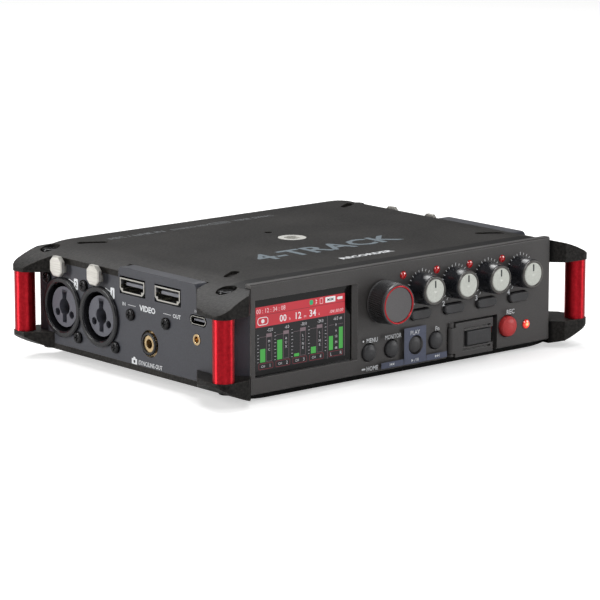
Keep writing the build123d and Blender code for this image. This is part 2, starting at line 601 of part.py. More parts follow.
# ---------------------------------------------------------------- jog dial
encoder = box(DIAL_X - 6, DIAL_X + 6, BOARD_Y + 1.6, BOARD_Y + 7.0, DIAL_Z - 6, DIAL_Z + 6)
encoder += rod_y(DIAL_X, FRONT_Y + 0.6, BOARD_Y, DIAL_Z, 4.2)
encoder += rod_y(DIAL_X, BOARD_Y - 0.3, BOARD_Y + 1.8, DIAL_Z, 2.0)
encoder -= rod_y(DIAL_X, FRONT_Y - 1, BOARD_Y - 0.6, DIAL_Z, 2.4 + SHAFT_FIT)
save("dial_encoder", encoder)

dial_tip = FRONT_Y - DIAL_PROUD
dial_shaft = rod_y(DIAL_X, dial_tip + 3.0, BOARD_Y - 0.6 - DIAL_PRESS - 0.5, DIAL_Z, 2.4)
save("dial_shaft", dial_shaft)

FACE_R = 6.7
dial = turned_y(DIAL_X, DIAL_Z, [
    (0, FRONT_Y - 0.9), (DIAL_R, FRONT_Y - 0.9), (DIAL_R, FRONT_Y - 2.0), (DIAL_TIP_R, dial_tip + 1.1),
    (FACE_R, dial_tip + 1.1), (FACE_R, dial_tip + 0.35), (0, dial_tip + 0.35),
])
dial -= rod_y(DIAL_X, FRONT_Y, dial_tip + 2.7, DIAL_Z, 2.4 + SHAFT_FIT)
save("dial_knob", dial)

ring = turned_y(DIAL_X, DIAL_Z, [
    (FACE_R + SIT, dial_tip + 1.1), (DIAL_TIP_R, dial_tip + 1.1), (DIAL_TIP_R, dial_tip + 0.5),
    (DIAL_TIP_R - 0.4, dial_tip), (FACE_R + 0.3, dial_tip), (FACE_R + SIT, dial_tip + 0.3),
])
save("dial_ring", ring)

# ---------------------------------------------------------------- card door and slot
DOOR_BACK = HINGE_Y + 1.0
card_door = box(HINGE_X + 1.5, dx1, FRONT_Y - DOOR_PROUD, DOOR_BACK, dz0, dz1)
card_door = fillet(card_door.edges().filter_by(Axis.Z).group_by(Axis.X)[-1], 0.6)
card_door += box(HINGE_X, HINGE_X + 1.6, HINGE_Y - 1.3, HINGE_Y + 1.0, dz0 + 1.6, dz1 - 1.6)
card_door += rod_z(HINGE_X, HINGE_Y, dz0 + 1.6, dz1 - 1.6, 1.3)
card_door -= rod_z(HINGE_X, HINGE_Y, dz0, dz1, 0.6 + PIN_FIT)
PAD = (30.6, 43.2, 7.4, 13.0)
card_door -= box(PAD[0] - 1.9, dx1 + 1, FRONT_Y - 3, FRONT_Y - 0.2, PAD[2] - RUN, PAD[3] + RUN)
for z in (PAD[2] - 1.7, PAD[3] + 0.9):
    card_door -= box(PAD[0] - 1.9, dx1 - 1.6, FRONT_Y - 3, FRONT_Y - 0.7, z, z + 0.8)
save("card_door", card_door)

card_latch = box(PAD[0], PAD[1], FRONT_Y - DOOR_PROUD - 0.25, FRONT_Y - 0.55, PAD[2], PAD[3])
card_latch = chamfer(card_latch.edges().group_by(Axis.Y)[0], 0.25)
save("card_door_latch", card_latch)

slot_box = box(CARD_X0 - 0.8, CARD_X0 + 24.8, BOARD_Y - 0.6, -25.0, 7.6, 12.4)
slot_box -= box(CARD_X0 - 0.15, CARD_X0 + 24.15, BOARD_Y - 2, -27.0, 8.7, 11.3)
slot_box += box(CARD_X0 + 1.0, CARD_X0 + 4.0, -40.0, -30.0, BOTTOM + SHELL_T, 8.0)
slot_box += box(CARD_X0 + 20.0, CARD_X0 + 23.0, -40.0, -30.0, BOTTOM + SHELL_T, 8.0)
save("card_socket", slot_box)

card = box(CARD_X0, CARD_X0 + 24.0, BOARD_Y - 1.6, -28.0, 8.7, 10.8)
card -= prism([(CARD_X0, BOARD_Y + 2.6), (CARD_X0, BOARD_Y - 2), (CARD_X0 + 4.2, BOARD_Y - 2)], 8, 12)
save("memory_card", card)

# ---------------------------------------------------------------- combo jacks
pw, ph = JACK_PLATE
housings = []
cores = []
screws = []
SIDE_SCREW = cross_screw(2.3, 1.2, 1.3, 5.0)
for y in JACK_Y:
    body = turned_x(y, JACK_Z, [
        (60, 0), (60, JACK_BODY_R), (BODY_X, JACK_BODY_R), (BODY_X, JACK_RING_R),
        (BODY_X + 0.9, JACK_RING_R), (BODY_X + 1.3, JACK_RING_R - 0.5), (BODY_X + 1.3, JACK_BORE_R + 0.5),
        (BODY_X + 0.9, JACK_BORE_R), (63, JACK_BORE_R), (63, 0),
    ])
    plate = box(BODY_X - PANEL_T - 2, BODY_X - PANEL_T, y - pw / 2, y + pw / 2, JACK_Z - ph / 2, JACK_Z + ph / 2)
    plate -= rod_x(78, 86, y, JACK_Z, JACK_BODY_R - 0.1)
    body += plate
    slot_lo = TAB_Z[0] + 1.3
    guide = box(74, BODY_X - PANEL_T, y - 3.6, y + 3.6, JACK_Z + ph / 2 - 3, SEAM_HI - 0.1)
    guide -= box(75.5, 86, y - 1.9 - RUN, y + 1.9 + RUN, slot_lo - RUN, slot_lo + 2.4 + RUN)
    guide -= rod_x(70, 86, y, JACK_Z, JACK_BODY_R - 0.1)
    body += guide
    if y > PANEL_Y[1] - 12:
        body -= box(70, BODY_X, BACK_Y - 6.4, BACK_Y - 1.0, 0, TOP + 6.0)
        for z0, z1 in ((0, EAR_LO + 0.1), (EAR_HI - 0.1, TOP + 6.0)):
            body -= box(70, BODY_X, PANEL_Y[1], BACK_Y - 1.0, z0, z1)
    for s in (1, -1):
        body -= rod_x(70, 86, y + s * JACK_SCREW[0], JACK_Z + s * JACK_SCREW[1], 1.3)
        at = Pos(BODY_X, y + s * JACK_SCREW[0], JACK_Z + s * JACK_SCREW[1]) * Rot(0, 90, 0)
        screws.append(at * SIDE_SCREW)
    core = rod_x(63, BODY_X - 0.6, y, JACK_Z, JACK_CORE_R)
    core -= rod_x(64.5, 86, y, JACK_Z, TRS_R)
    for a in (90, 210, 330):
        lobe = Pos(BODY_X - 0.6, y, JACK_Z) * Rot(a, 0, 0) * Pos(0, TRS_R + PIN_WEB + PIN_R, 0) * Rot(0, 90, 0) * Cylinder(PIN_R, 8)
        core -= lobe
    core -= box(BODY_X - 3.1, BODY_X, y - 1.3, y + 1.3, JACK_Z - JACK_CORE_R + 1.7, JACK_Z + JACK_CORE_R - 1.7)
    housings += [body, mirrored(body)]
    cores += [core, mirrored(core)]
screws += [mirrored(s) for s in screws]
for y, z in SHORT_SCREW:
    screws.append(Pos(-BODY_X, y, z) * Rot(0, -90, 0) * SIDE_SCREW)
save("jack_housings", Compound(children=housings))
save("jack_cores", Compound(children=cores))
save("panel_screws", Compound(children=screws))

n = 0
for side in (-1, 1):
    for y in JACK_Y:
        n += 1
        x0 = BODY_X + 1.9
        plan = [(y - TAB_W / 2, TAB_Z[0]), (y + TAB_W / 2, TAB_Z[0]), (y + TAB_W / 2, TAB_Z[1]),
                (y - TAB_W / 2, TAB_Z[1])]
        tab = box(x0, x0 + 1.7, plan[0][0], plan[1][0], TAB_Z[0], TAB_Z[1])
        tab = chamfer(tab.edges().filter_by(Axis.X), 1.9)
        tab = chamfer(tab.edges().group_by(Axis.X)[-1], 0.4)
        slot_lo = TAB_Z[0] + 1.3
        tab += box(77.4, x0 + 0.5, y - 1.9, y + 1.9, slot_lo, slot_lo + 2.4)
        save(f"release_tab_{n}", tab if side == 1 else mirrored(tab))

# ---------------------------------------------------------------- data and line connectors
shells = []
tongues = []
for y in HDMI_Y:
    shell = box(-BODY_X - 0.2, -72.5, y - 7.5, y + 7.5, HDMI_Z - 2.8, HDMI_Z + 2.8)
    shell = chamfer(shell.edges().filter_by(Axis.X).group_by(Axis.Z)[0], 1.4)
    shell -= box(-BODY_X - 1, -74.0, y - 6.9, y + 6.9, HDMI_Z - 1.2, HDMI_Z + 2.2)
    shell -= box(-BODY_X - 1, -74.0, y - 5.6, y + 5.6, HDMI_Z - 2.2, HDMI_Z + 2.2)
    shell += box(-80.0, -73.0, y - 4, y + 4, BRD_Z + BRD_T, HDMI_Z - 2.4)
    shells.append(shell)
    tongues.append(box(-BODY_X + 1.4, -74.0, y - 5.4, y + 5.4, HDMI_Z - 0.3, HDMI_Z + 0.9))
save("hdmi_sockets", Compound(children=shells))

usb = box(-BODY_X - 0.1, -75.5, USB_Y - 2.9, USB_Y + 2.9, USB_Z - 1.6, USB_Z + 1.6)
usb_in = box(-BODY_X - 1, -77.0, USB_Y - 2.9, USB_Y + 2.9, USB_Z - 1.3, USB_Z + 1.3)
for s in (1, -1):
    usb += rod_x(-BODY_X - 0.1, -75.5, USB_Y + s * 2.9, USB_Z, 1.6)
    usb_in += rod_x(-BODY_X - 1, -77.0, USB_Y + s * 2.9, USB_Z, 1.3)
save("usb_c_socket", usb - usb_in)
tongues.append(box(-BODY_X + 0.8, -77.0, USB_Y - 3.3, USB_Y + 3.3, USB_Z - 0.35, USB_Z + 0.35))
save("port_tongues", Compound(children=tongues))

minis = []
for side in (-1, 1):
    jack = rod_x(70.0, 81.0, MINI_Y, MINI_Z, 4.6) + box(70, 81, MINI_Y - 4.6, MINI_Y + 4.6, MINI_Z - 5.5, MINI_Z)
    jack += rod_x(BODY_X - PANEL_T - 1.2, BODY_X - PANEL_T, MINI_Y, MINI_Z, 6.4)
    jack += rod_x(80, BODY_X - 0.3, MINI_Y, MINI_Z, 3.9)
    jack += rod_x(BODY_X - 0.9, BODY_X + 0.2, MINI_Y, MINI_Z, 3.2)
    jack -= rod_x(71.5, BODY_X + 1, MINI_Y, MINI_Z, MINI_R)
    minis.append(jack if side == 1 else mirrored(jack))
save("mini_jacks", Compound(children=minis))

lock = rod_x(-BODY_X - 0.2, -BODY_X + PANEL_T + 1.5, LOCK_Y, LOCK_Z, 2.1)
lock -= rod_x(-BODY_X - 1, -BODY_X + PANEL_T + 0.8, LOCK_Y, LOCK_Z, 1.25)
save("cable_lock_insert", lock)

# ---------------------------------------------------------------- right side controls
hp_y, hp_z = HP_KNOB
hp_pot = box(72.0, 79.0, hp_y - 5.0, hp_y + 5.0, hp_z - 5.0, hp_z + 5.0)
hp_pot += rod_x(78.9, 83.0, hp_y, hp_z, 3.9)
hp_pot += rod_x(78.9, BODY_X + 4.0, hp_y, hp_z, 2.0)
hp_knob = turned_x(hp_y, hp_z, [
    (BODY_X + 0.5, 0), (BODY_X + 0.5, HP_KNOB_R), (BODY_X + 5.2, HP_KNOB_R - 0.3),
    (BODY_X + 5.7, HP_KNOB_R - 0.9), (BODY_X + 5.7, 0),
])
hp_knob -= rod_x(80, BODY_X + 4.3, hp_y, hp_z, 2.0 + SHAFT_FIT)
save("headphone_knob", hp_knob)

sw_y, sw_z = SWITCH
switch_body = box(74.0, BODY_X - PANEL_T, sw_y - 6.5, sw_y + 6.5, sw_z - 3.5, sw_z + 3.2)
switch_body -= box(79.0, 90, sw_y - 4.8, sw_y + 4.8, sw_z - 1.9, sw_z + 1.9)
save("side_control_bodies", Compound(children=[hp_pot, switch_body]))
slider = box(79.4, BODY_X + 1.2, sw_y - 2.2, sw_y + 2.2, sw_z - 1.5, sw_z + 1.5)
slider = chamfer(slider.edges().group_by(Axis.X)[-1], 0.3)
save("power_switch", slider)
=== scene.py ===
"""Visual model of a portable four-input field recorder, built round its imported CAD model.

The CAD nodes keep their shapes and get worked finishes. What a small solid can't carry is made
here: the knurled jog dial, knob rims, the lit display, the printing, and the socket contacts.
Lengths in the classes are millimetres in the model's own frame; meshes are made in metres.
"""

import json
import logging
import math
from dataclasses import dataclass
from enum import Enum

import bmesh
import bpy
import numpy as np
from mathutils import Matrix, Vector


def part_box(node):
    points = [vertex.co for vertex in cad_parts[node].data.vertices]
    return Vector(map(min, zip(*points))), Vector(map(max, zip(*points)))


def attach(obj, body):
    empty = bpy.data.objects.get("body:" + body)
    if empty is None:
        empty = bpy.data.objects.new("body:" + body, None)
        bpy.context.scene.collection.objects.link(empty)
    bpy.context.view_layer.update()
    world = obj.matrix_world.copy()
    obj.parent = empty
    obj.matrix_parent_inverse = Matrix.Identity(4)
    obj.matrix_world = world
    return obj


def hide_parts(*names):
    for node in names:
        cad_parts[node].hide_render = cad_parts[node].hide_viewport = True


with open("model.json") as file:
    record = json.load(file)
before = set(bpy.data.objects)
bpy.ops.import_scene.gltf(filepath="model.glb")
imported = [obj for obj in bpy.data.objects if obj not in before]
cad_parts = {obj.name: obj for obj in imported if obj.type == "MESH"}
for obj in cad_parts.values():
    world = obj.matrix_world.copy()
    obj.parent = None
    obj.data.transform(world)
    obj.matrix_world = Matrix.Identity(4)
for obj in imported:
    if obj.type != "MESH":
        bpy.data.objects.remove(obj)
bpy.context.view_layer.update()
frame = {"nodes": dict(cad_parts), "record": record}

MM = 0.001
LOG = logging.getLogger("recorder")
BAND_HALF = 76.5        # half width of the unsprayed front band
CAPITAL = 0.729         # height of the built-in font's capitals at size 1
LAMP_AT = (63.5, 11.3)  # across and up, the record lamp


# ------------------------------------------------------------------ colour and node helpers
def paint(red: float, green: float, blue: float) -> tuple[float, float, float, float]:
    """Turns a display colour, 0 to 255, into linear light.

    Args:
        red, green, blue: the colour as seen on a screen.
    Returns:
        Linear red, green, blue and an alpha of 1. Each is ((c + 0.055) / 1.055) to the 2.4, or
        c / 12.92 near black.
    """
    c = np.array([red, green, blue], float) / 255.0
    line = np.where(c <= 0.04045, c / 12.92, ((c + 0.055) / 1.055) ** 2.4)
    return (float(line[0]), float(line[1]), float(line[2]), 1.0)


class Brush(Enum):
    """Which way a brushed or turned surface is worked."""

    NONE = "none"
    ALONG_X = "x"
    ALONG_Y = "y"


class Wiring:
    """Writes nodes and links into one shader or group tree."""

    def __init__(self, tree: bpy.types.NodeTree) -> None:
        """Keeps the tree and clears it."""
        self.tree = tree
        tree.nodes.clear()

    def add(self, kind: str, sockets: dict[str, object] | None = None, **settings: object) -> bpy.types.Node:
        """Adds a node.

        Args:
            kind: the node's type name.
            sockets: values or output sockets for its inputs, by name or number.
            settings: properties such as operation or blend_type.
        Returns:
            The new node.
        """
        node = self.tree.nodes.new(kind)
        for key, value in settings.items():
            setattr(node, key, value)
        for key, value in (sockets or {}).items():
            entry = node.inputs[key]
            if isinstance(value, bpy.types.NodeSocket):
                self.tree.links.new(value, entry)
            else:
                entry.default_value = value
        return node

    def blend(self, share: object, first: object, second: object) -> bpy.types.NodeSocket:
        """Mixes two colours by a share and returns the result socket."""
        node = self.add("ShaderNodeMix", data_type="RGBA", blend_type="MIX")
        for place, value in ((0, share), (6, first), (7, second)):
            if isinstance(value, bpy.types.NodeSocket):
                self.tree.links.new(value, node.inputs[place])
            else:
                node.inputs[place].default_value = value
        return node.outputs[2]

    def sum(self, operation: str, first: object, second: object = 0.0,
            third: object = 0.0) -> bpy.types.NodeSocket:
        """Does one Math operation and returns its value."""
        return self.add("ShaderNodeMath", {0: first, 1: second, 2: third}, operation=operation).outputs[0]

    def span(self, value: object, low: float, high: float, to_low: float, to_high: float) -> bpy.types.NodeSocket:
        """Maps low..high onto to_low..to_high, held at the ends."""
        node = self.add("ShaderNodeMapRange", {0: value, 1: low, 2: high, 3: to_low, 4: to_high})
        return node.outputs[0]


def open_material(name: str) -> tuple[bpy.types.Material, Wiring, bpy.types.NodeSocket]:
    """Starts an empty node material; returns it, its wiring and its Object coordinates."""
    made = bpy.data.materials.new(name)
    made.use_nodes = True
    wire = Wiring(made.node_tree)
    return made, wire, wire.add("ShaderNodeTexCoord").outputs["Object"]


class Effects:
    """The shader groups that several finishes share, each built once."""

    _made: dict[str, bpy.types.NodeTree] = {}

    @classmethod
    def _group(cls, name: str, inputs: dict[str, tuple[str, object]], outputs: dict[str, str]) -> Wiring:
        """Opens a new group with named sockets and returns its wiring."""
        tree = bpy.data.node_groups.new(name, "ShaderNodeTree")
        wire = Wiring(tree)
        for label, (kind, value) in inputs.items():
            socket = tree.interface.new_socket(label, in_out="INPUT", socket_type=kind)
            if value is not None:
                socket.default_value = value
        for label, kind in outputs.items():
            tree.interface.new_socket(label, in_out="OUTPUT", socket_type=kind)
        cls._made[name] = tree
        return wire

    @classmethod
    def grain(cls) -> bpy.types.NodeTree:
        """Fine sprayed or moulded grain: two noises, one fine for height, one broad for tone."""
        if "sprayed_grain" in cls._made:
            return cls._made["sprayed_grain"]
        wire = cls._group(
            "sprayed_grain",
            {"Vector": ("NodeSocketVector", None), "Scale": ("NodeSocketFloat", 1500.0),
             "Broad": ("NodeSocketFloat", 40.0)},
            {"Height": "NodeSocketFloat", "Tone": "NodeSocketFloat", "Cloud": "NodeSocketFloat"})
        inside = wire.add("NodeGroupInput")
        fine = wire.add("ShaderNodeTexNoise", {"Vector": inside.outputs["Vector"],
                        "Scale": inside.outputs["Scale"], "Detail": 2.0, "Roughness": 0.6})
        broad = wire.add("ShaderNodeTexNoise", {"Vector": inside.outputs["Vector"],
                         "Scale": inside.outputs["Broad"], "Detail": 4.0, "Roughness": 0.55})
        tone = wire.span(fine.outputs[0], 0.3, 0.7, 0.0, 1.0)
        cloud = wire.span(broad.outputs[0], 0.3, 0.7, 0.0, 1.0)
        wire.add("NodeGroupOutput", {"Height": fine.outputs[0], "Tone": tone, "Cloud": cloud})
        return cls._made["sprayed_grain"]

    @classmethod
    def edge_rounding_and_highlight(cls) -> bpy.types.NodeTree:
        """Soft corners: a rounded normal, and a noise-broken mask for a painted edge highlight, near 1 where the
        rounded normal leaves the flat one.
        """
        if "edge_rounding_and_highlight" in cls._made:
            return cls._made["edge_rounding_and_highlight"]
        wire = cls._group(
            "edge_rounding_and_highlight",
            {"Vector": ("NodeSocketVector", None), "Radius": ("NodeSocketFloat", 0.0003)},
            {"Mask": "NodeSocketFloat", "Normal": "NodeSocketVector"})
        inside = wire.add("NodeGroupInput")
        bevel = wire.add("ShaderNodeBevel", {"Radius": inside.outputs["Radius"]}, samples=4)
        face = wire.add("ShaderNodeNewGeometry")
        match = wire.add("ShaderNodeVectorMath", {0: bevel.outputs[0], 1: face.outputs["True Normal"]},
                         operation="DOT_PRODUCT")
        patch = wire.add("ShaderNodeTexNoise", {"Vector": inside.outputs["Vector"], "Scale": 300.0,
                         "Detail": 3.0})
        turn = wire.span(match.outputs["Value"], 0.99, 0.8, 0.0, 1.0)
        broken = wire.span(patch.outputs[0], 0.35, 0.6, 0.35, 1.0)
        wire.add("NodeGroupOutput", {"Mask": wire.sum("MULTIPLY", turn, broken), "Normal": bevel.outputs[0]})
        return cls._made["edge_rounding_and_highlight"]

    @classmethod
    def settled_dust(cls) -> bpy.types.NodeTree:
        """Sparse dust: specks by noise, kept only where the surface looks up."""
        if "settled_dust" in cls._made:
            return cls._made["settled_dust"]
        wire = cls._group(
            "settled_dust",
            {"Vector": ("NodeSocketVector", None), "Amount": ("NodeSocketFloat", 0.1)},
            {"Mask": "NodeSocketFloat"})
        inside = wire.add("NodeGroupInput")
        face = wire.add("ShaderNodeNewGeometry")
        parts = wire.add("ShaderNodeSeparateXYZ", {0: face.outputs["Normal"]})
        upward = wire.span(parts.outputs["Z"], 0.5, 1.0, 0.15, 1.0)
        speck = wire.add("ShaderNodeTexNoise", {"Vector": inside.outputs["Vector"], "Scale": 900.0,
                         "Detail": 3.0})
        thick = wire.span(speck.outputs[0], 0.62, 0.78, 0.0, 1.0)
        mask = wire.sum("MULTIPLY", wire.sum("MULTIPLY", upward, thick), inside.outputs["Amount"])
        wire.add("NodeGroupOutput", {"Mask": mask})
        return cls._made["settled_dust"]

    @classmethod
    def brush_lines(cls) -> bpy.types.NodeTree:
        """Fine scratches in one direction: noise stretched along it."""
        if "brush_lines" in cls._made:
            return cls._made["brush_lines"]
        wire = cls._group(
            "brush_lines",
            {"Vector": ("NodeSocketVector", None), "Stretch": ("NodeSocketVector", (1.0, 1.0, 1.0))},
            {"Height": "NodeSocketFloat", "Tone": "NodeSocketFloat"})
        inside = wire.add("NodeGroupInput")
        pulled = wire.add("ShaderNodeVectorMath", {0: inside.outputs["Vector"],
                          1: inside.outputs["Stretch"]}, operation="MULTIPLY")
        line = wire.add("ShaderNodeTexNoise", {"Vector": pulled.outputs[0], "Scale": 4000.0,
                        "Detail": 2.0})
        wire.add("NodeGroupOutput", {"Height": line.outputs[0],
                                     "Tone": wire.span(line.outputs[0], 0.3, 0.7, 0.0, 1.0)})
        return cls._made["brush_lines"]


# ------------------------------------------------------------------ finishes
@dataclass(frozen=True)
class Finish:
    """A worked solid surface: paint, moulded plastic, plated or anodised metal.

    The front band ahead of smooth_before, in millimetres of depth, is left unsprayed across the
    bezel's width. lathe is how far a turned metal draws its highlight out along Z.
    """

    name: str
    dark: tuple[float, float, float]
    light: tuple[float, float, float]
    rough: float = 0.5
    rough_spread: float = 0.08
    metallic: float = 0.0
    grain: float = 1800.0
    broad: float = 40.0
    depth: float = 0.02
    strength: float = 0.4
    coat: float = 0.0
    # edge: a painted highlight colour laid along the rounded edges, mixed in by edge_share
    edge: tuple[float, float, float] | None = None
    edge_share: float = 0.3
    radius: float = 0.25
    dust: float = 0.12
    brush: Brush = Brush.NONE
    specular: float = 0.5
    # groove_shade: name of the point attribute that lays painted shade in cut grooves
    groove_shade: str = ""
    smooth_before: float | None = None
    lathe: float = 0.0

    def material(self) -> bpy.types.Material:
        """Builds the material once and hands back the same one after that."""
        if self.name in bpy.data.materials:
            return bpy.data.materials[self.name]
        made, wire, where = open_material(self.name)
        grain = wire.add("ShaderNodeGroup", node_tree=Effects.grain())
        grain.inputs["Scale"].default_value = self.grain
        grain.inputs["Broad"].default_value = self.broad
        wire.tree.links.new(where, grain.inputs["Vector"])
        height, tone = grain.outputs["Height"], grain.outputs["Tone"]
        if self.brush is not Brush.NONE:
            lines = wire.add("ShaderNodeGroup", node_tree=Effects.brush_lines())
            thin = [1.0, 1.0, 1.0]
            thin["xyz".index(self.brush.value)] = 0.03
            lines.inputs["Stretch"].default_value = thin
            wire.tree.links.new(where, lines.inputs["Vector"])
            height, tone = lines.outputs["Height"], lines.outputs["Tone"]
        mixed = wire.sum("MULTIPLY_ADD", grain.outputs["Cloud"], 0.35, wire.sum("MULTIPLY", tone, 0.65))
        colour = wire.blend(mixed, paint(*self.dark), paint(*self.light))
        # painted shade: darkens the cut grooves to a third of the dark tone
        if self.groove_shade:
            cut = wire.add("ShaderNodeAttribute", attribute_name=self.groove_shade)
            colour = wire.blend(cut.outputs["Fac"], colour, paint(*(c * 0.35 for c in self.dark)))
        if self.smooth_before is not None:
            spot = wire.add("ShaderNodeSeparateXYZ", {0: where})
            behind = wire.span(spot.outputs["Y"], self.smooth_before * MM, (self.smooth_before + 0.4) * MM,
                               0.0, 1.0)
            beside = wire.span(wire.sum("ABSOLUTE", spot.outputs["X"]), BAND_HALF * MM,
                               (BAND_HALF + 1.0) * MM, 0.0, 1.0)
            sprayed = wire.sum("MAXIMUM", behind, beside)
            colour = wire.blend(sprayed, paint(*(c * 0.8 for c in self.dark)), colour)
            height = wire.sum("MULTIPLY", height, sprayed)
        corner = wire.add("ShaderNodeGroup", node_tree=Effects.edge_rounding_and_highlight())
        corner.inputs["Radius"].default_value = self.radius * MM
        wire.tree.links.new(where, corner.inputs["Vector"])
        # painted highlight: the edge colour is mixed in along the rounded edges
        if self.edge:
            share = wire.sum("MULTIPLY", corner.outputs["Mask"], self.edge_share)
            colour = wire.blend(share, colour, paint(*self.edge))
        if self.dust:
            dust = wire.add("ShaderNodeGroup", node_tree=Effects.settled_dust())
            dust.inputs["Amount"].default_value = self.dust
            wire.tree.links.new(where, dust.inputs["Vector"])
            colour = wire.blend(dust.outputs["Mask"], colour, paint(176, 172, 165))
        rough = wire.sum("MULTIPLY_ADD", grain.outputs["Cloud"], self.rough_spread,
                         self.rough - self.rough_spread / 2)
        bump = wire.add("ShaderNodeBump", {"Strength": self.strength, "Distance": self.depth * MM,
                        "Height": height, "Normal": corner.outputs["Normal"]})
        shader = wire.add("ShaderNodeBsdfPrincipled", {
            "Base Color": colour, "Roughness": rough, "Metallic": self.metallic,
            "Normal": bump.outputs[0], "Coat Weight": self.coat, "Coat Roughness": 0.12,
            "Specular IOR Level": self.specular})
        if self.lathe:
            facing = wire.add("ShaderNodeNewGeometry").outputs["Normal"]
            around = wire.add("ShaderNodeVectorMath", operation="CROSS_PRODUCT")
            wire.tree.links.new(facing, around.inputs[0])
            around.inputs[1].default_value = (0.0, 0.0, 1.0)
            shader.inputs["Anisotropic"].default_value = self.lathe
            shader.inputs["Anisotropic Rotation"].default_value = 0.25
            wire.tree.links.new(around.outputs[0], shader.inputs["Tangent"])
        wire.add("ShaderNodeOutputMaterial", {"Surface": shader.outputs[0]})
        made.diffuse_color = paint(*self.light)
        return made


@dataclass(frozen=True)
class LampFinish:
    """Clear red lens plastic, with a glow round one lit lamp."""

    name: str
    body: tuple[float, float, float]
    lit_at: tuple[float, float, float]
    reach: float

    def material(self) -> bpy.types.Material:
        """Red coated plastic; emission falls from orange to red with distance from the lit lamp."""
        if self.name in bpy.data.materials:
            return bpy.data.materials[self.name]
        made, wire, where = open_material(self.name)
        scale = 1.0 / (self.reach * MM)
        centred = wire.add("ShaderNodeMapping", {
            "Vector": where, "Location": tuple(-v * MM * scale for v in self.lit_at),
            "Scale": (scale, scale, scale)})
        ball = wire.add("ShaderNodeTexGradient", {0: centred.outputs[0]}, gradient_type="SPHERICAL")
        ramp = wire.add("ShaderNodeValToRGB", {0: ball.outputs["Fac"]})
        points = ramp.color_ramp.elements
        points[0].position, points[0].color = 0.0, (0.0, 0.0, 0.0, 1.0)
        points[1].position, points[1].color = 1.0, (5.0, 2.2, 0.8, 1.0)
        middle = points.new(0.42)
        middle.color = (1.3, 0.06, 0.03, 1.0)
        grain = wire.add("ShaderNodeGroup", node_tree=Effects.grain())
        wire.tree.links.new(where, grain.inputs["Vector"])
        colour = wire.blend(grain.outputs["Cloud"], paint(*self.body),
                            paint(*(min(255.0, c * 1.25) for c in self.body)))
        rough = wire.sum("MULTIPLY_ADD", grain.outputs["Cloud"], 0.05, 0.08)
        shader = wire.add("ShaderNodeBsdfPrincipled", {
            "Base Color": colour, "Roughness": rough, "Coat Weight": 1.0, "Coat Roughness": 0.03,
            "Emission Color": ramp.outputs[0], "Emission Strength": 1.0})
        wire.add("ShaderNodeOutputMaterial", {"Surface": shader.outputs[0]})
        return made


@dataclass(frozen=True)
class LitFinish:
    """Lit display dots behind gloss: colour by emission, broken by a fine dot pattern."""

    name: str
    colour: tuple[float, float, float]
    power: float = 1.0
    pitch: float = 0.13

    def material(self) -> bpy.types.Material:
        """Emission is the colour times a noise of the backlight times vertical dot columns."""
        if self.name in bpy.data.materials:
            return bpy.data.materials[self.name]
        made, wire, where = open_material(self.name)
        back = wire.add("ShaderNodeTexNoise", {"Vector": where, "Scale": 60.0, "Detail": 2.0})
        dots = wire.add("ShaderNodeTexWave", {"Vector": where, "Scale": 0.05 / (self.pitch * MM) * math.pi},
                        wave_type="BANDS", bands_direction="X")
        even = wire.span(back.outputs[0], 0.3, 0.7, 0.0, 0.5)
        share = wire.sum("MULTIPLY_ADD", dots.outputs["Fac"], 0.35, even)
        glow = wire.blend(share, paint(*(c * 0.86 for c in self.colour)), paint(*self.colour))
        shader = wire.add("ShaderNodeBsdfPrincipled", {
            "Base Color": (0.004, 0.004, 0.005, 1.0), "Roughness": 0.12, "Emission Color": glow,
            "Emission Strength": self.power})
        wire.add("ShaderNodeOutputMaterial", {"Surface": shader.outputs[0]})
        return made


# The edge colours in these finishes are painted highlights along the rounded edges.
SHELL = Finish("shell_sprayed_black", (2, 2, 2), (54, 52, 50), rough=0.42, rough_spread=0.05,
               grain=1000.0, broad=30.0, depth=0.12, strength=0.8, edge=(126, 122, 116), edge_share=0.3,
               radius=0.45, dust=0.08, specular=0.12, smooth_before=-47.3)
PANEL = Finish("panel_satin_slate", (46, 47, 54), (60, 62, 70), rough=0.42, grain=2400.0, depth=0.012,
               strength=0.3, edge=(112, 114, 124), edge_share=0.45, radius=0.3, dust=0.05)
BEZEL = Finish("bezel_satin_grey", (64, 62, 62), (78, 76, 75), rough=0.36, grain=2600.0, depth=0.01,
               strength=0.25, edge=(150, 148, 146), edge_share=0.55, radius=0.35, dust=0.05)
PILLAR = Finish("pillar_anodised_red", (176, 22, 34), (214, 40, 52), rough=0.34, rough_spread=0.02,
                metallic=0.9, grain=900.0, depth=0.003, strength=0.1, radius=0.15, dust=0.0, lathe=0.85)
BLACK_SCREW = Finish("screw_black_oxide", (16, 16, 17), (38, 38, 40), rough=0.24, metallic=0.6,
                     depth=0.006, strength=0.3, edge=(150, 150, 152), edge_share=0.5, radius=0.18,
                     dust=0.0)
LENS = Finish("lens_black_gloss", (7, 7, 8), (12, 12, 13), rough=0.09, rough_spread=0.03, grain=300.0,
              depth=0.002, strength=0.05, radius=0.1, dust=0.03, specular=0.4)
SCREEN = Finish("display_module", (8, 8, 9), (14, 14, 15), rough=0.2, dust=0.0)
BOARD = Finish("board_solder_mask", (14, 66, 36), (26, 92, 50), rough=0.35, grain=700.0, coat=0.3, dust=0.05)
SOCKET_RING = Finish("socket_ring_satin", (200, 199, 194), (226, 225, 220), rough=0.4, metallic=0.35,
                     depth=0.006, strength=0.3, radius=0.15, dust=0.0)
TRAY = Finish("tray_moulded", (38, 38, 39), (50, 50, 52), rough=0.5, depth=0.02)
CELL = Finish("cell_sleeve", (62, 66, 74), (84, 88, 98), rough=0.25, coat=0.6, broad=90.0, dust=0.0)
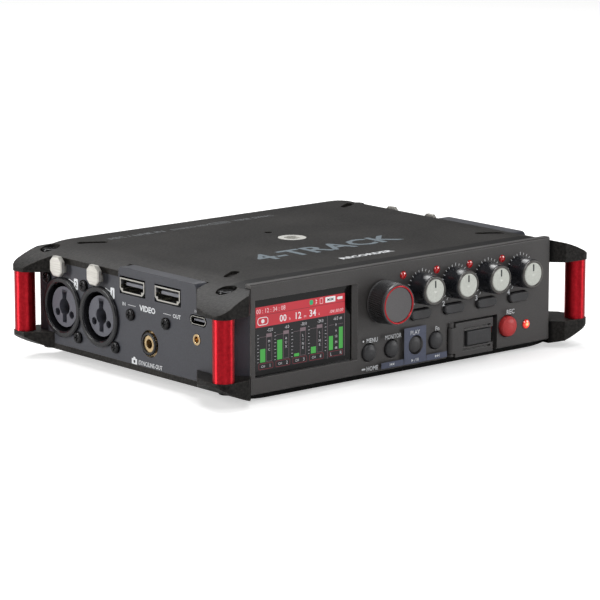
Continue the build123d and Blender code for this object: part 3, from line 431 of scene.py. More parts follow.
PLATED = Finish("plated_bright", (176, 174, 168), (214, 212, 205), rough=0.2, metallic=1.0, depth=0.004,
                strength=0.2, radius=0.12, dust=0.0, brush=Brush.ALONG_X)
RUBBER = Finish("foot_rubber", (26, 26, 26), (40, 39, 38), rough=0.8, grain=1300.0, depth=0.04, dust=0.2)
JACK_GLOSS = Finish("jack_gloss_black", (18, 18, 20), (34, 34, 37), rough=0.22, rough_spread=0.08,
                    depth=0.006, strength=0.3, edge=(112, 114, 120), edge_share=0.7, radius=0.3,
                    dust=0.03)
JACK_CORE = Finish("jack_core_nylon", (76, 77, 86), (96, 97, 106), rough=0.4, depth=0.012, strength=0.4,
                   edge=(128, 130, 138), edge_share=0.5, radius=0.2, dust=0.04)
NICKEL = Finish("tab_brushed_nickel", (196, 193, 186), (232, 230, 224), rough=0.34, rough_spread=0.1,
                metallic=0.75, depth=0.01, strength=0.5, edge=(246, 245, 240), edge_share=0.5,
                radius=0.2, dust=0.0, brush=Brush.ALONG_Y)
GILT = Finish("ferrule_gilt", (196, 166, 118), (232, 208, 166), rough=0.22, metallic=0.9, depth=0.006,
              strength=0.3, edge=(250, 238, 210), edge_share=0.5, radius=0.15, dust=0.0)
KNOB = Finish("knob_soft_black", (24, 25, 29), (40, 41, 46), rough=0.27, depth=0.008, strength=0.3,
              edge=(96, 95, 96), edge_share=0.5, radius=0.3, dust=0.04)
KNOB_RIM = Finish("knob_rim_grey", (70, 68, 66), (98, 95, 91), rough=0.3, depth=0.008, strength=0.3,
                  edge=(178, 174, 168), edge_share=0.5, radius=0.15, dust=0.03, coat=0.3)
CAP = Finish("cap_moulded_white", (206, 209, 201), (226, 229, 221), rough=0.34, depth=0.01, strength=0.25,
             broad=120.0, edge=(244, 245, 240), edge_share=0.4, radius=0.25, dust=0.0)
# the dial's groove_shade attribute lays painted shade in its knurl grooves
DIAL = Finish("dial_knurled_grey", (60, 60, 62), (86, 86, 88), rough=0.36, depth=0.01, strength=0.3,
              radius=0.05, dust=0.0, groove_shade="groove_shade")
DIAL_FACE = Finish("dial_face_satin", (92, 90, 91), (106, 104, 105), rough=0.42, grain=2600.0,
                   depth=0.012, strength=0.3, dust=0.03, radius=0.15)
RING_RED = Finish("ring_anodised_red", (186, 26, 36), (214, 44, 54), rough=0.26, metallic=0.4, dust=0.0,
                  depth=0.004, strength=0.2, edge=(240, 120, 120), edge_share=0.4, radius=0.15)
DOOR = Finish("door_satin_grey", (62, 61, 61), (78, 76, 76), rough=0.36, grain=2600.0, depth=0.01,
              strength=0.25, edge=(150, 148, 146), edge_share=0.6, radius=0.35, dust=0.04)
BUTTON = Finish("button_moulded_grey", (50, 50, 52), (64, 64, 66), rough=0.42, depth=0.015, strength=0.4,
                edge=(96, 96, 98), edge_share=0.45, radius=0.3, dust=0.05)
RECORD = Finish("record_matt_red", (188, 44, 46), (214, 66, 66), rough=0.42, depth=0.014, strength=0.4,
                edge=(236, 120, 116), edge_share=0.35, radius=0.3, dust=0.03)
SOCKET_BLACK = Finish("socket_moulded_black", (20, 20, 22), (34, 34, 37), rough=0.45, dust=0.0)
TONGUE = Finish("tongue_moulded_grey", (98, 100, 108), (126, 128, 136), rough=0.4, dust=0.0)
CARD = Finish("card_printed_blue", (34, 52, 96), (48, 68, 118), rough=0.3, coat=0.3, dust=0.0)


def ink_finish(name: str, dark: tuple[float, float, float], light: tuple[float, float, float], rough: float,
               depth: float, strength: float, dust: float = 0.0) -> Finish:
    """A thin printed ink, with hardly any rounding at its edges."""
    return Finish(name, dark, light, rough=rough, depth=depth, strength=strength, radius=0.02, dust=dust)


INK_WHITE = ink_finish("ink_white", (205, 208, 212), (232, 234, 236), 0.55, 0.006, 0.3)
INK_SLATE = ink_finish("ink_slate_blue", (76, 82, 102), (90, 96, 117), 0.5, 0.006, 0.3)
INK_STEEL = ink_finish("ink_steel_blue", (84, 96, 104), (104, 117, 126), 0.55, 0.01, 0.4, 0.04)
INK_FAINT = ink_finish("ink_faint_grey", (90, 94, 97), (116, 120, 124), 0.55, 0.01, 0.4, 0.04)
INK_DARK = ink_finish("ink_dark", (34, 35, 40), (48, 49, 55), 0.5, 0.02, 0.4)
(LIT_RED, LIT_SEAM, LIT_WHITE, LIT_PALE, LIT_GREEN,
 LIT_JADE, LIT_GREY, LIT_DIM, LIT_FRAME, LIT_BLACK) = (
    LitFinish(name, colour) for name, colour in (
        ("lit_red", (200, 50, 62)),
        ("lit_dark_red", (120, 34, 44)),
        ("lit_white", (238, 236, 238)),
        ("lit_pale_red", (246, 206, 210)),
        ("lit_green", (70, 172, 72)),
        ("lit_jade", (40, 176, 116)),
        ("lit_grey", (200, 198, 202)),
        ("lit_dim", (122, 104, 110)),
        ("lit_frame", (136, 44, 56)),
        ("lit_black", (15, 15, 17)),
    ))

SLOT_FINISH = {
    "shell_black": SHELL, "panel_grey": PANEL, "bezel_grey": BEZEL, "red_anodised": PILLAR,
    "black_steel": BLACK_SCREW, "clear_window": LENS, "screen": SCREEN, "board_green": BOARD,
    "tray_plastic": TRAY, "cell_wrap": CELL, "bright_metal": PLATED, "rubber_black": RUBBER,
    "jack_black": JACK_GLOSS, "jack_core_grey": JACK_CORE, "satin_nickel": NICKEL, "brass": GILT,
    "knob_black": KNOB, "cap_white": CAP, "dial_grey": DIAL, "ring_red": RING_RED,
    "button_grey": BUTTON, "record_red": RECORD, "connector_black": SOCKET_BLACK, "card_blue": CARD,
}


# ------------------------------------------------------------------ mesh helpers
def middle(node: str) -> np.ndarray:
    """The centre of a CAD node's box, in millimetres."""
    low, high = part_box(node)
    return (np.array(low) + np.array(high)) / 2 / MM


def low_high(node: str) -> tuple[np.ndarray, np.ndarray]:
    """The corners of a CAD node's box, in millimetres."""
    low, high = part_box(node)
    return np.array(low) / MM, np.array(high) / MM


def lattice(rows: int, columns: int, closed: bool) -> np.ndarray:
    """Quads over a grid of points stored row by row.

    Args:
        rows, columns: the size of the grid.
        closed: whether each row comes back to its own start.
    Returns:
        Quads as rows of four point numbers: (i, j), (i, j+1), (i+1, j+1), (i+1, j).
    """
    last = columns if closed else columns - 1
    i, j = np.meshgrid(np.arange(rows - 1), np.arange(last), indexing="ij")
    right = (j + 1) % columns
    return np.stack([i * columns + j, i * columns + right, (i + 1) * columns + right,
                     (i + 1) * columns + j], -1).reshape(-1, 4)


def piece(name: str, points: np.ndarray, faces: list[list[int]], finish: Finish | LitFinish, body: str,
          smooth: float = 35.0) -> bpy.types.Object:
    """Makes one finished piece and lets it ride on its body.

    Args:
        name: the piece's own name.
        points: corners in millimetres, one row each.
        faces: corner numbers of each face.
        finish: what it is made of.
        body: the CAD body that it moves with.
        smooth: degrees past which an edge stays sharp.
    Returns:
        The new object, at the origin, with outward normals.
    """
    mesh = bpy.data.meshes.new(name)
    mesh.from_pydata((np.asarray(points, float) * MM).tolist(), [], faces)
    work = bmesh.new()
    work.from_mesh(mesh)
    bmesh.ops.remove_doubles(work, verts=work.verts, dist=2e-7)
    bmesh.ops.recalc_face_normals(work, faces=work.faces)
    work.to_mesh(mesh)
    work.free()
    mesh.polygons.foreach_set("use_smooth", np.ones(len(mesh.polygons), bool))
    mesh.set_sharp_from_angle(angle=math.radians(smooth))
    mesh.materials.append(finish.material())
    made = bpy.data.objects.new(name, mesh)
    bpy.context.scene.collection.objects.link(made)
    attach(made, body)
    return made


def turned(profile: np.ndarray, sides: int) -> tuple[np.ndarray, list[list[int]]]:
    """A closed solid of revolution about the depth axis.

    Args:
        profile: rows of (radius, depth). Radii of 0 at either end are closed with a cap.
        sides: points round it.
    Returns:
        Points (radius cos t, depth, radius sin t) and their faces. A profile whose ends meet
        makes a ring; otherwise its two end circles are capped.
    """
    ring = np.allclose(profile[0], profile[-1])
    turn = np.linspace(0, 2 * math.pi, sides, endpoint=False)
    radius, depth = profile[:, :1], profile[:, 1:]
    points = np.stack([radius * np.cos(turn), depth + 0 * turn, radius * np.sin(turn)], -1).reshape(-1, 3)
    faces = lattice(len(profile), sides, True).tolist()
    if not ring:
        last = (len(profile) - 1) * sides
        faces += [list(range(sides)), list(range(last, last + sides))]
    return points, faces


@dataclass(frozen=True)
class PrintFace:
    """A flat face that takes printing, given by a point and two directions, in millimetres."""

    origin: tuple[float, float, float]
    across: tuple[float, float, float]
    up: tuple[float, float, float]

    def place(self, flat: np.ndarray) -> np.ndarray:
        """Puts (u, v, height) rows on the face: origin + u across + v up + height outward."""
        across, up = np.array(self.across, float), np.array(self.up, float)
        axes = np.stack([across, up, np.cross(across, up)])
        return np.array(self.origin, float) + flat @ axes


class Align(Enum):
    """Where a word's given point lies on it."""

    LEFT = "LEFT"
    CENTRE = "CENTER"
    RIGHT = "RIGHT"


class Printing:
    """One colour of printing on one face, gathered shape by shape, then made one mesh."""

    def __init__(self, name: str, face: PrintFace, lift: float, thick: float = 0.02) -> None:
        """Starts an empty print that stands from lift to lift + thick off its face."""
        self.name, self.face, self.lift, self.thick = name, face, lift, thick
        self.points: list[np.ndarray] = []
        self.faces: list[list[int]] = []
        self.count = 0

    def _take(self, points: np.ndarray, faces: list[list[int]]) -> None:
        """Adds points (u, v, height) and faces numbered from 0."""
        self.faces += [[k + self.count for k in f] for f in faces]
        self.points.append(points)
        self.count += len(points)

    def solid(self, outline: np.ndarray) -> None:
        """A filled shape: the outline's prism from lift to lift + thick."""
        n = len(outline)
        low = np.column_stack([outline, np.full(n, self.lift)])
        high = np.column_stack([outline, np.full(n, self.lift + self.thick)])
        k = np.arange(n)
        sides = np.stack([k, (k + 1) % n, (k + 1) % n + n, k + n], -1).tolist()
        self._take(np.vstack([low, high]), [list(range(n))[::-1], list(range(n, 2 * n))] + sides)

    def hollow(self, outer: np.ndarray, inner: np.ndarray) -> None:
        """A band between two outlines of the same number of points."""
        n = len(outer)
        flat = np.vstack([outer, inner])
        low = np.column_stack([flat, np.full(2 * n, self.lift)])
        high = low + [0, 0, self.thick]
        k, m = np.arange(n), (np.arange(n) + 1) % n
        quads = [np.stack(q, -1) for q in ((k, m, m + n, k + n), (k + 2 * n, m + 2 * n, m + 3 * n, k + 3 * n),
                                           (k, m, m + 2 * n, k + 2 * n), (k + n, m + n, m + 3 * n, k + 3 * n))]
        self._take(np.vstack([low, high]), np.vstack(quads).tolist())

    def block(self, u0: float, u1: float, v0: float, v1: float) -> None:
        """A filled rectangle."""
        self.solid(np.array([[u0, v0], [u1, v0], [u1, v1], [u0, v1]], float))

    @staticmethod
    def rounded(u0: float, u1: float, v0: float, v1: float, radius: float, steps: int = 5) -> np.ndarray:
        """The outline of a rectangle with rounded corners: each corner is centre + radius (cos, sin)."""
        a = np.linspace(0, math.pi / 2, steps)
        corners = [(u1 - radius, v1 - radius, 0), (u0 + radius, v1 - radius, 1),
                   (u0 + radius, v0 + radius, 2), (u1 - radius, v0 + radius, 3)]
        return np.vstack([np.column_stack([cu + radius * np.cos(a + q * math.pi / 2),
                                           cv + radius * np.sin(a + q * math.pi / 2)])
                          for cu, cv, q in corners])

    def frame(self, u0: float, u1: float, v0: float, v1: float, radius: float, width: float) -> None:
        """An outlined box of the given line width."""
        self.hollow(self.rounded(u0, u1, v0, v1, radius),
                    self.rounded(u0 + width, u1 - width, v0 + width, v1 - width, max(radius - width, 0.01)))

    def disc(self, u: float, v: float, radius: float, sides: int = 24) -> None:
        """A filled circle."""
        a = np.linspace(0, 2 * math.pi, sides, endpoint=False)
        self.solid(np.column_stack([u + radius * np.cos(a), v + radius * np.sin(a)]))

    def rays(self, u: float, v: float, near: float, far: np.ndarray, width: float, angles: np.ndarray) -> None:
        """Short radial bars: from near to far along (sin a, cos a), a from twelve o'clock."""
        out = np.column_stack([np.sin(angles), np.cos(angles)])
        side = np.column_stack([np.cos(angles), -np.sin(angles)]) * width / 2
        start, end = out * near, out * far[:, None]
        boxes = np.stack([start + side, end + side, end - side, start - side], 1) + [u, v]
        for outline in boxes:
            self.solid(outline)

    def word(self, text: str, u: float, v: float, height: float, align: Align = Align.CENTRE,
             bold: float = 0.0, stretch: float = 1.0, slant: float = 0.0) -> None:
        """A word whose capitals have the given height, with its middle line at v."""
        data = bpy.data.curves.new("lettering", "FONT")
        data.body, data.align_x, data.resolution_u = text, align.value, 2
        data.offset, data.extrude, data.shear = bold, 0.5, slant
        holder = bpy.data.objects.new("lettering", data)
        bpy.context.scene.collection.objects.link(holder)
        bpy.context.view_layer.update()
        mesh = bpy.data.meshes.new_from_object(holder.evaluated_get(bpy.context.evaluated_depsgraph_get()))
        points = np.empty(len(mesh.vertices) * 3)
        mesh.vertices.foreach_get("co", points)
        points = points.reshape(-1, 3)
        size = height / CAPITAL
        points[:, 0] = u + points[:, 0] * size * stretch
        points[:, 1] = v + (points[:, 1] - CAPITAL / 2) * size
        points[:, 2] = self.lift + (points[:, 2] + 0.5) * self.thick
        self._take(points, [list(p.vertices) for p in mesh.polygons])
        bpy.data.objects.remove(holder)
        bpy.data.curves.remove(data)
        bpy.data.meshes.remove(mesh)

    def press(self, finish: Finish | LitFinish, body: str, slot: str) -> bpy.types.Object:
        """Puts everything on the face as one piece and logs it."""
        LOG.info("printed %s: %d faces", self.name, len(self.faces))
        return piece(self.name, self.face.place(np.vstack(self.points)), self.faces, finish, body)


FRONT_Y = float(low_high("front_bezel")[0][1])
TOP_Z = float(low_high("top_shell")[1][2])
LEFT_X = float(low_high("left_panel")[0][0])
BACK_Y = float(low_high("rear_panel")[1][1])
FRONT_FACE = PrintFace((0.0, FRONT_Y, 0.0), (1, 0, 0), (0, 0, 1))
TOP_FACE = PrintFace((0.0, 0.0, TOP_Z), (1, 0, 0), (0, 1, 0))
LEFT_FACE = PrintFace((LEFT_X, 0.0, 0.0), (0, -1, 0), (0, 0, 1))
RIGHT_FACE = PrintFace((-LEFT_X, 0.0, 0.0), (0, 1, 0), (0, 0, 1))
REAR_FACE = PrintFace((0.0, BACK_Y, 0.0), (-1, 0, 0), (0, 0, 1))


# ------------------------------------------------------------------ sub-assemblies
@dataclass
class JogDial:
    """The push and turn dial, with slanted ridges cut round its side."""

    ridges: int = 68
    ridge: float = 0.42
    slant: float = 0.42
    face_radius: float = 6.7
    ring_inner: float = 6.74
    ring_outer: float = 7.3

    def build(self) -> None:
        """Makes the knurled side, the dished face and the two rings round it."""
        low, high = low_high("dial_knob")
        centre = (low + high) / 2
        outer = (high[0] - low[0]) / 2
        back, front = high[1], low[1]
        shoulder = float(low_high("dial_ring")[1][1])
        tip = float(low_high("dial_ring")[1][0] - low_high("dial_ring")[0][0]) / 2
        rows, sides = 22, self.ridges * 6
        s = np.linspace(0, 1, rows)[:, None]
        turn = np.linspace(0, 2 * math.pi, sides, endpoint=False)[None, :]
        taper = outer + (tip - outer) * np.clip((s - 0.15) / 0.85, 0, 1)
        fade = np.clip(np.minimum(s, 1 - s) * 14, 0, 1)
        wave = np.abs(np.sin((turn + self.slant * s) * self.ridges / 2))
        radius = taper - self.ridge * fade * wave
        depth = back + (shoulder - back) * s
        side = np.stack([radius * np.cos(turn), depth + 0 * turn, radius * np.sin(turn)], -1).reshape(-1, 3)
        faces = lattice(rows, sides, True).tolist()
        faces += [list(range(sides)), list(range((rows - 1) * sides, rows * sides))]
        body = piece("dial_knurled_body", side + [centre[0], 0, centre[2]], faces, DIAL, "dial",
                     smooth=50.0)
        # painted shade: the groove_shade attribute is 1 in the grooves between ridges, where the dial finish
        # darkens
        around = np.empty(len(body.data.vertices) * 3)
        body.data.vertices.foreach_get("co", around)
        around = around.reshape(-1, 3) / MM - [centre[0], 0, centre[2]]
        share = np.clip((around[:, 1] - back) / (shoulder - back), 0, 1)
        angle = np.arctan2(around[:, 2], around[:, 0])
        inside = np.clip(np.minimum(share, 1 - share) * 14, 0, 1)
        cut = inside * np.abs(np.sin((angle + self.slant * share) * self.ridges / 2)) ** 2
        body.data.attributes.new("groove_shade", "FLOAT", "POINT").data.foreach_set("value", cut)
        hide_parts("dial_knob")
        r = self.face_radius - 0.03
        profile = np.array([(r, shoulder + 0.02), (r, front + 0.12), (r - 0.15, front),
                            (r * 0.6, front + 0.05), (r * 0.25, front + 0.08)])
        points, quads = turned(profile, 96)
        piece("dial_face", points + [centre[0], 0, centre[2]], quads, DIAL_FACE, "dial")
        crest = float(low_high("dial_ring")[0][1])
        rings = (("dial_ring_bright", self.ring_inner, self.ring_outer, 0.0, RING_RED),
                 ("dial_ring_outer", self.ring_outer, tip, 0.12, DIAL))
        for name, inner, rim, lift, finish in rings:
            band = np.array([(inner, shoulder), (inner, crest + lift + 0.1), (inner + 0.1, crest + lift),
                             (rim - 0.1, crest + lift), (rim, crest + lift + 0.1), (rim, shoulder)])
            points, quads = turned(np.vstack([band, band[:1]]), 96)
            ring = piece(name, points + [centre[0], 0, centre[2]], quads, finish, "dial")
            if finish is RING_RED:
                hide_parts("dial_ring")
        LOG.info("jog dial: %d ridges, radius %.2f mm", self.ridges, outer)


@dataclass
class GainLane:
    """One input's lane on the front: knob rim, scale ticks, number."""

    number: int
    outer: float = 5.45
    ticks: int = 21
    sweep: float = 290.0

    def build(self, ink: Printing) -> None:
        """Adds the rim ring round the cap and prints the scale on the bezel."""
        knob_low, knob_high = low_high(f"gain_knob_{self.number}")
        centre = (knob_low + knob_high) / 2
        cap_low, cap_high = low_high(f"gain_cap_{self.number}")
        inner = (cap_high[0] - cap_low[0]) / 2 + 0.06
        tip = knob_low[1]
        profile = np.array([(inner, tip + 0.4), (inner, tip - 0.02), (inner + 0.18, tip - 0.16),
                            (self.outer - 0.35, tip - 0.16), (self.outer, tip + 0.12), (self.outer, tip + 0.4),
                            (inner, tip + 0.4)])
        points, faces = turned(profile, 72)
        piece(f"gain_rim_{self.number}", points + [centre[0], 0, centre[2]], faces, KNOB_RIM,
              f"gain_{self.number}")
        pocket = PrintFace((0.0, float(cap_low[1]) + 0.3, 0.0), (1, 0, 0), (0, 0, 1))
        pointer = Printing(f"gain_pointer_{self.number}", pocket, 0.01, 0.27)
        pointer.solid(Printing.rounded(centre[0] - 0.3, centre[0] + 0.3, centre[2] + 1.25,
                                       centre[2] + 3.85, 0.1))
        pointer.press(INK_DARK, f"gain_{self.number}", "cap_white")
        angles = np.radians(np.linspace(-self.sweep / 2, self.sweep / 2, self.ticks))
        reach = np.where(np.arange(self.ticks) % 5 == 0, 7.7, 7.4)
        ink.rays(centre[0], centre[2], 6.5, reach, 0.26, angles)
        ink.word(str(self.number), centre[0] - 6.1, centre[2] - 7.3, 2.1, bold=0.01)
        LOG.info("gain lane %d", self.number)


@dataclass
class FrontPrinting:
    """Key names, symbols and the colour patches behind them."""

    patch: tuple[float, float, float, float] = (-1.9, 9.3, 4.5, 18.5)
    bands: tuple[tuple[float, float, float, float], ...] = ((-13.5, -2.15, 4.5, 6.8), (9.55, 20.2, 4.5, 6.8))
    caption: float = 1.75

    def build(self) -> None:
        """Prints the patches, the names and the small transport symbols."""
        slate = Printing("front_patches", FRONT_FACE, 0.005, 0.015)
        u0, u1, v0, v1 = self.patch
        knob = middle("play_button")
        a = np.linspace(0, 2 * math.pi, 48, endpoint=False)
        hole = np.column_stack([knob[0] + 3.7 * np.cos(a), knob[2] + 3.7 * np.sin(a)])
        far = np.maximum(np.abs(np.cos(a)) / np.where(np.cos(a) > 0, u1 - knob[0], knob[0] - u0),
                         np.abs(np.sin(a)) / np.where(np.sin(a) > 0, v1 - knob[2], knob[2] - v0))
        box = np.column_stack([knob[0] + np.cos(a) / far, knob[2] + np.sin(a) / far])
        slate.hollow(box, hole)
        for corner in ((u0, v0), (u1, v0), (u1, v1), (u0, v1)):
            near = box[np.argsort(((box - corner) ** 2).sum(1))[:2]]
            slate.solid(np.vstack([near, [corner]]))
        for band in self.bands:
            slate.block(*band)
        slate.press(INK_SLATE, "recorder", "bezel_grey")

        ink = Printing("front_lettering", FRONT_FACE, 0.022)
        for lane in range(1, 5):
            GainLane(lane).build(ink)
        menu, monitor, play, fn = (middle(f"{n}_button") for n in ("menu", "monitor", "play", "fn"))
        up, down = 4.95, 5.8
        ink.word("MENU", menu[0] + 0.5, menu[2] + up, self.caption, bold=0.012, stretch=0.86)
        ink.disc(menu[0] - 3.9, menu[2] + up, 0.38, 12)
        ink.word("HOME", menu[0] + 0.6, menu[2] - down, self.caption, bold=0.012, stretch=0.86)
        ink.solid(Printing.rounded(menu[0] - 4.7, menu[0] - 2.9, menu[2] - down - 0.32,
                                   menu[2] - down + 0.32, 0.3))
        ink.word("MONITOR", monitor[0] - 0.3, monitor[2] + up, self.caption, bold=0.008, stretch=0.74)
        ink.word("PLAY", play[0] - 0.4, play[2] + up, self.caption, stretch=0.9)
        ink.word("Fn", fn[0] - 0.3, fn[2] + up, self.caption, bold=0.01, stretch=0.95)
        ink.word("REC", 53.8, 17.8, 1.85, bold=0.014, stretch=0.95)
        tall = 0.55
        for centre, flip in ((monitor[0] - 0.4, -1.0), (fn[0] - 0.6, 1.0)):
            z = menu[2] - down
            for shift in (-0.75, 0.25):
                tri = np.array([[0.0, -tall], [0.0, tall], [0.95, 0.0]]) + [shift, 0.0]
                ink.solid(tri * [flip, 1.0] + [centre, z])
            bar = sorted((centre + flip * 1.25, centre + flip * 1.5))
            ink.block(bar[0], bar[1], z - tall, z + tall)
        x, z = play[0] - 0.3, play[2] - down
        ink.solid(np.array([[x - 1.9, z - 0.6], [x - 0.9, z], [x - 1.9, z + 0.6]]))
        ink.solid(np.array([[x - 0.5, z - 0.6], [x - 0.3, z - 0.6], [x + 0.35, z + 0.6], [x + 0.15, z + 0.6]]))
        for k in (0.75, 1.35):
            ink.block(x + k, x + k + 0.3, z - 0.6, z + 0.6)
        ink.press(INK_WHITE, "recorder", "bezel_grey")


@dataclass
class Display:
    """What the lit display shows: time rows, level meters and channel tabs."""

    left: float = -72.3
    right: float = -29.1
    low: float = 11.6
    high: float = 35.4
    column: float = 8.14
    base: float = 14.65
    top: float = 25.0

    def build(self) -> None:
        """Prints each colour of the picture in thin layers on the window."""
        window = float(low_high("display_lens")[0][1])
        face = PrintFace((0.0, window, 0.0), (1, 0, 0), (0, 0, 1))

        def layer(name: str, depth: int) -> Printing:
            """Opens a print layer; a higher depth lies nearer the viewer."""
            return Printing(name, face, 0.006 + 0.012 * depth, 0.008)

        ground = layer("display_ground", 0)
        ground.block(self.left, self.right, self.low, self.high)
        ground.press(LIT_BLACK, "recorder", "screen")

        rows = layer("display_header", 1)
        rows.block(self.left, self.right, 32.33, self.high)
        rows.block(self.left, self.right, 27.85, 32.17)
        rows.press(LIT_RED, "recorder", "screen")
        seam = layer("display_header_seam", 1)
        seam.block(self.left, self.right, 32.17, 32.33)
        seam.press(LIT_SEAM, "recorder", "screen")

        white = layer("display_white", 2)
        start = -60.9
        for k, text in enumerate(("00", "12", "34")):
            white.word(text, start + k * 7.15, 30.0, 2.6, Align.LEFT, bold=0.012, stretch=0.95)
        white.frame(-71.4, -66.3, 28.5, 31.5, 1.2, 0.28)
        white.disc(-68.85, 30.0, 0.78)
        white.solid(Printing.rounded(-38.7, -33.8, 32.85, 34.95, 0.25))
        white.block(-32.6, -30.3, 33.4, 34.4)
        white.block(-33.0, -32.6, 33.65, 34.15)
        white.press(LIT_WHITE, "recorder", "screen")

        pale = layer("display_pale", 2)
        pale.word("00 : 12 : 34 : 08", -72.0, 33.85, 1.75, Align.LEFT, stretch=0.92)
        for k, text in enumerate("hms"):
            pale.word(text, start + k * 7.15 + 4.55, 29.35, 1.15, Align.LEFT)
        pale.word("/04:30:00", -30.0, 29.3, 1.3, Align.RIGHT, slant=0.2)
        pale.frame(-41.4, -39.9, 32.8, 35.0, 0.3, 0.18)
        pale.solid(np.array([[-43.5, 34.9], [-42.7, 34.3], [-43.3, 33.9], [-42.7, 33.5], [-43.5, 32.9],
                             [-43.3, 33.9]]))
        pale.press(LIT_PALE, "recorder", "screen")

        jade = layer("display_sync_mark", 2)
        jade.solid(Printing.rounded(-46.4, -44.7, 33.0, 34.85, 0.6))
        jade.press(LIT_JADE, "recorder", "screen")
        icon = layer("display_icon_cut", 3)
        icon.word("MEM", -36.25, 33.9, 1.1, bold=0.01)
        icon.press(LIT_BLACK, "recorder", "screen")

        first = -71.4
        bars = layer("display_bars", 1)
        for k, level in enumerate((19.6, 22.0, 15.75, 17.1)):
            bars.block(first + 1.25 + k * self.column, first + 3.65 + k * self.column, self.base, level)
        bars.block(-36.9, -34.95, self.base, 19.9)
        bars.block(-32.0, -30.1, self.base, 22.8)
        bars.press(LIT_GREEN, "recorder", "screen")

        dim = layer("display_dim", 1)
        grey = layer("display_grey", 2)
        marks = np.linspace(self.base + 0.15, self.top, 9)

        def scale(start_at: float) -> None:
            """Draws nine level marks, long and short in turn."""
            for n, v in enumerate(marks):
                grey.block(start_at - 0.1, start_at + (0.75 if n % 2 else 0.45), v - 0.07, v + 0.07)

        for k in range(4):
            u = first + k * self.column
            dim.frame(u + 4.15, u + 6.85, self.base, self.top + 0.1, 0.15, 0.12)
            dim.block(u + 4.15, u + 6.85, 23.75, self.top + 0.1)
            scale(u)
            dim.block(u + 0.9, u + 4.1, 24.02, 24.12)
            grey.word(("-12.0", "-6.0", "-30.0", "-24.0")[k], u + 5.9, 26.45, 1.25, stretch=0.82)
            for n, letter in enumerate(("MIC", "AUX", "LINE", "LINE")[k]):
                grey.word(letter, u + 5.5, 22.2 - n * 1.55, 1.0)
        scale(-63.25 + self.column * 3)
        dim.block(-37.7, -37.58, self.low, 27.7)
        dim.block(-29.3, -29.18, self.low, 27.7)
        dim.block(-36.9, -34.4, 24.0, 24.1)
        dim.block(-32.3, -29.9, 24.0, 24.1)
        grey.word("-6.0", -33.6, 26.4, 1.35, stretch=0.85)
        grey.word("dB", -31.2, 26.2, 0.9)
        for k, text in enumerate(("0", "6", "12", "24", "48")):
            grey.word(text, -33.45, 24.0 - k * 2.2, 0.95)
        dim.press(LIT_DIM, "recorder", "screen")

        frames = layer("display_tabs", 1)
        for k in range(4):
            u = first + 0.5 + k * self.column
            frames.frame(u, u + 6.9, 11.95, 14.25, 0.5, 0.14)
            grey.word("CH", u + 2.1, 13.1, 0.95)
            grey.word(str(k + 1), u + 5.4, 13.1, 1.25)
        frames.frame(-36.9, -30.1, 12.1, 14.1, 0.4, 0.14)
        grey.word("L", -35.9, 13.1, 1.2)
        grey.word("R", -31.1, 13.1, 1.2)
        frames.press(LIT_FRAME, "recorder", "screen")
        grey.press(LIT_GREY, "recorder", "screen")


@dataclass
class TopPrinting:
    """Large name letters, a small white word and the faint row by the rear edge."""

    def build(self) -> None:
        """Prints the top shell."""
        big = Printing("top_large_letters", TOP_FACE, 0.01, 0.03)
        big.word("4-TRACK", -4.6, -16.6, 11.8, bold=0.02, stretch=1.06)
        big.press(INK_STEEL, "recorder", "shell_black")
        small = Printing("top_small_word", TOP_FACE, 0.01, 0.03)
        small.word("RECORDER", -2.4, -37.9, 3.0, bold=0.03, stretch=1.24)
        small.press(INK_WHITE, "recorder", "shell_black")
        row = Printing("top_rear_row", TOP_FACE, 0.01, 0.02)
        row.word("MIC / LINE IN", -57.0, 52.0, 3.4, Align.LEFT)
        row.word("STEREO MIX", -26.0, 52.0, 2.6, Align.LEFT)
        row.frame(-5.8, 3.4, 50.2, 53.9, 0.5, 0.35)
        row.word("24-96", -1.2, 52.0, 2.0)
        row.word("TIME SYNC", 6.0, 52.0, 3.0, Align.LEFT)
        row.press(INK_FAINT, "recorder", "shell_black")
        LOG.info("top printing done")


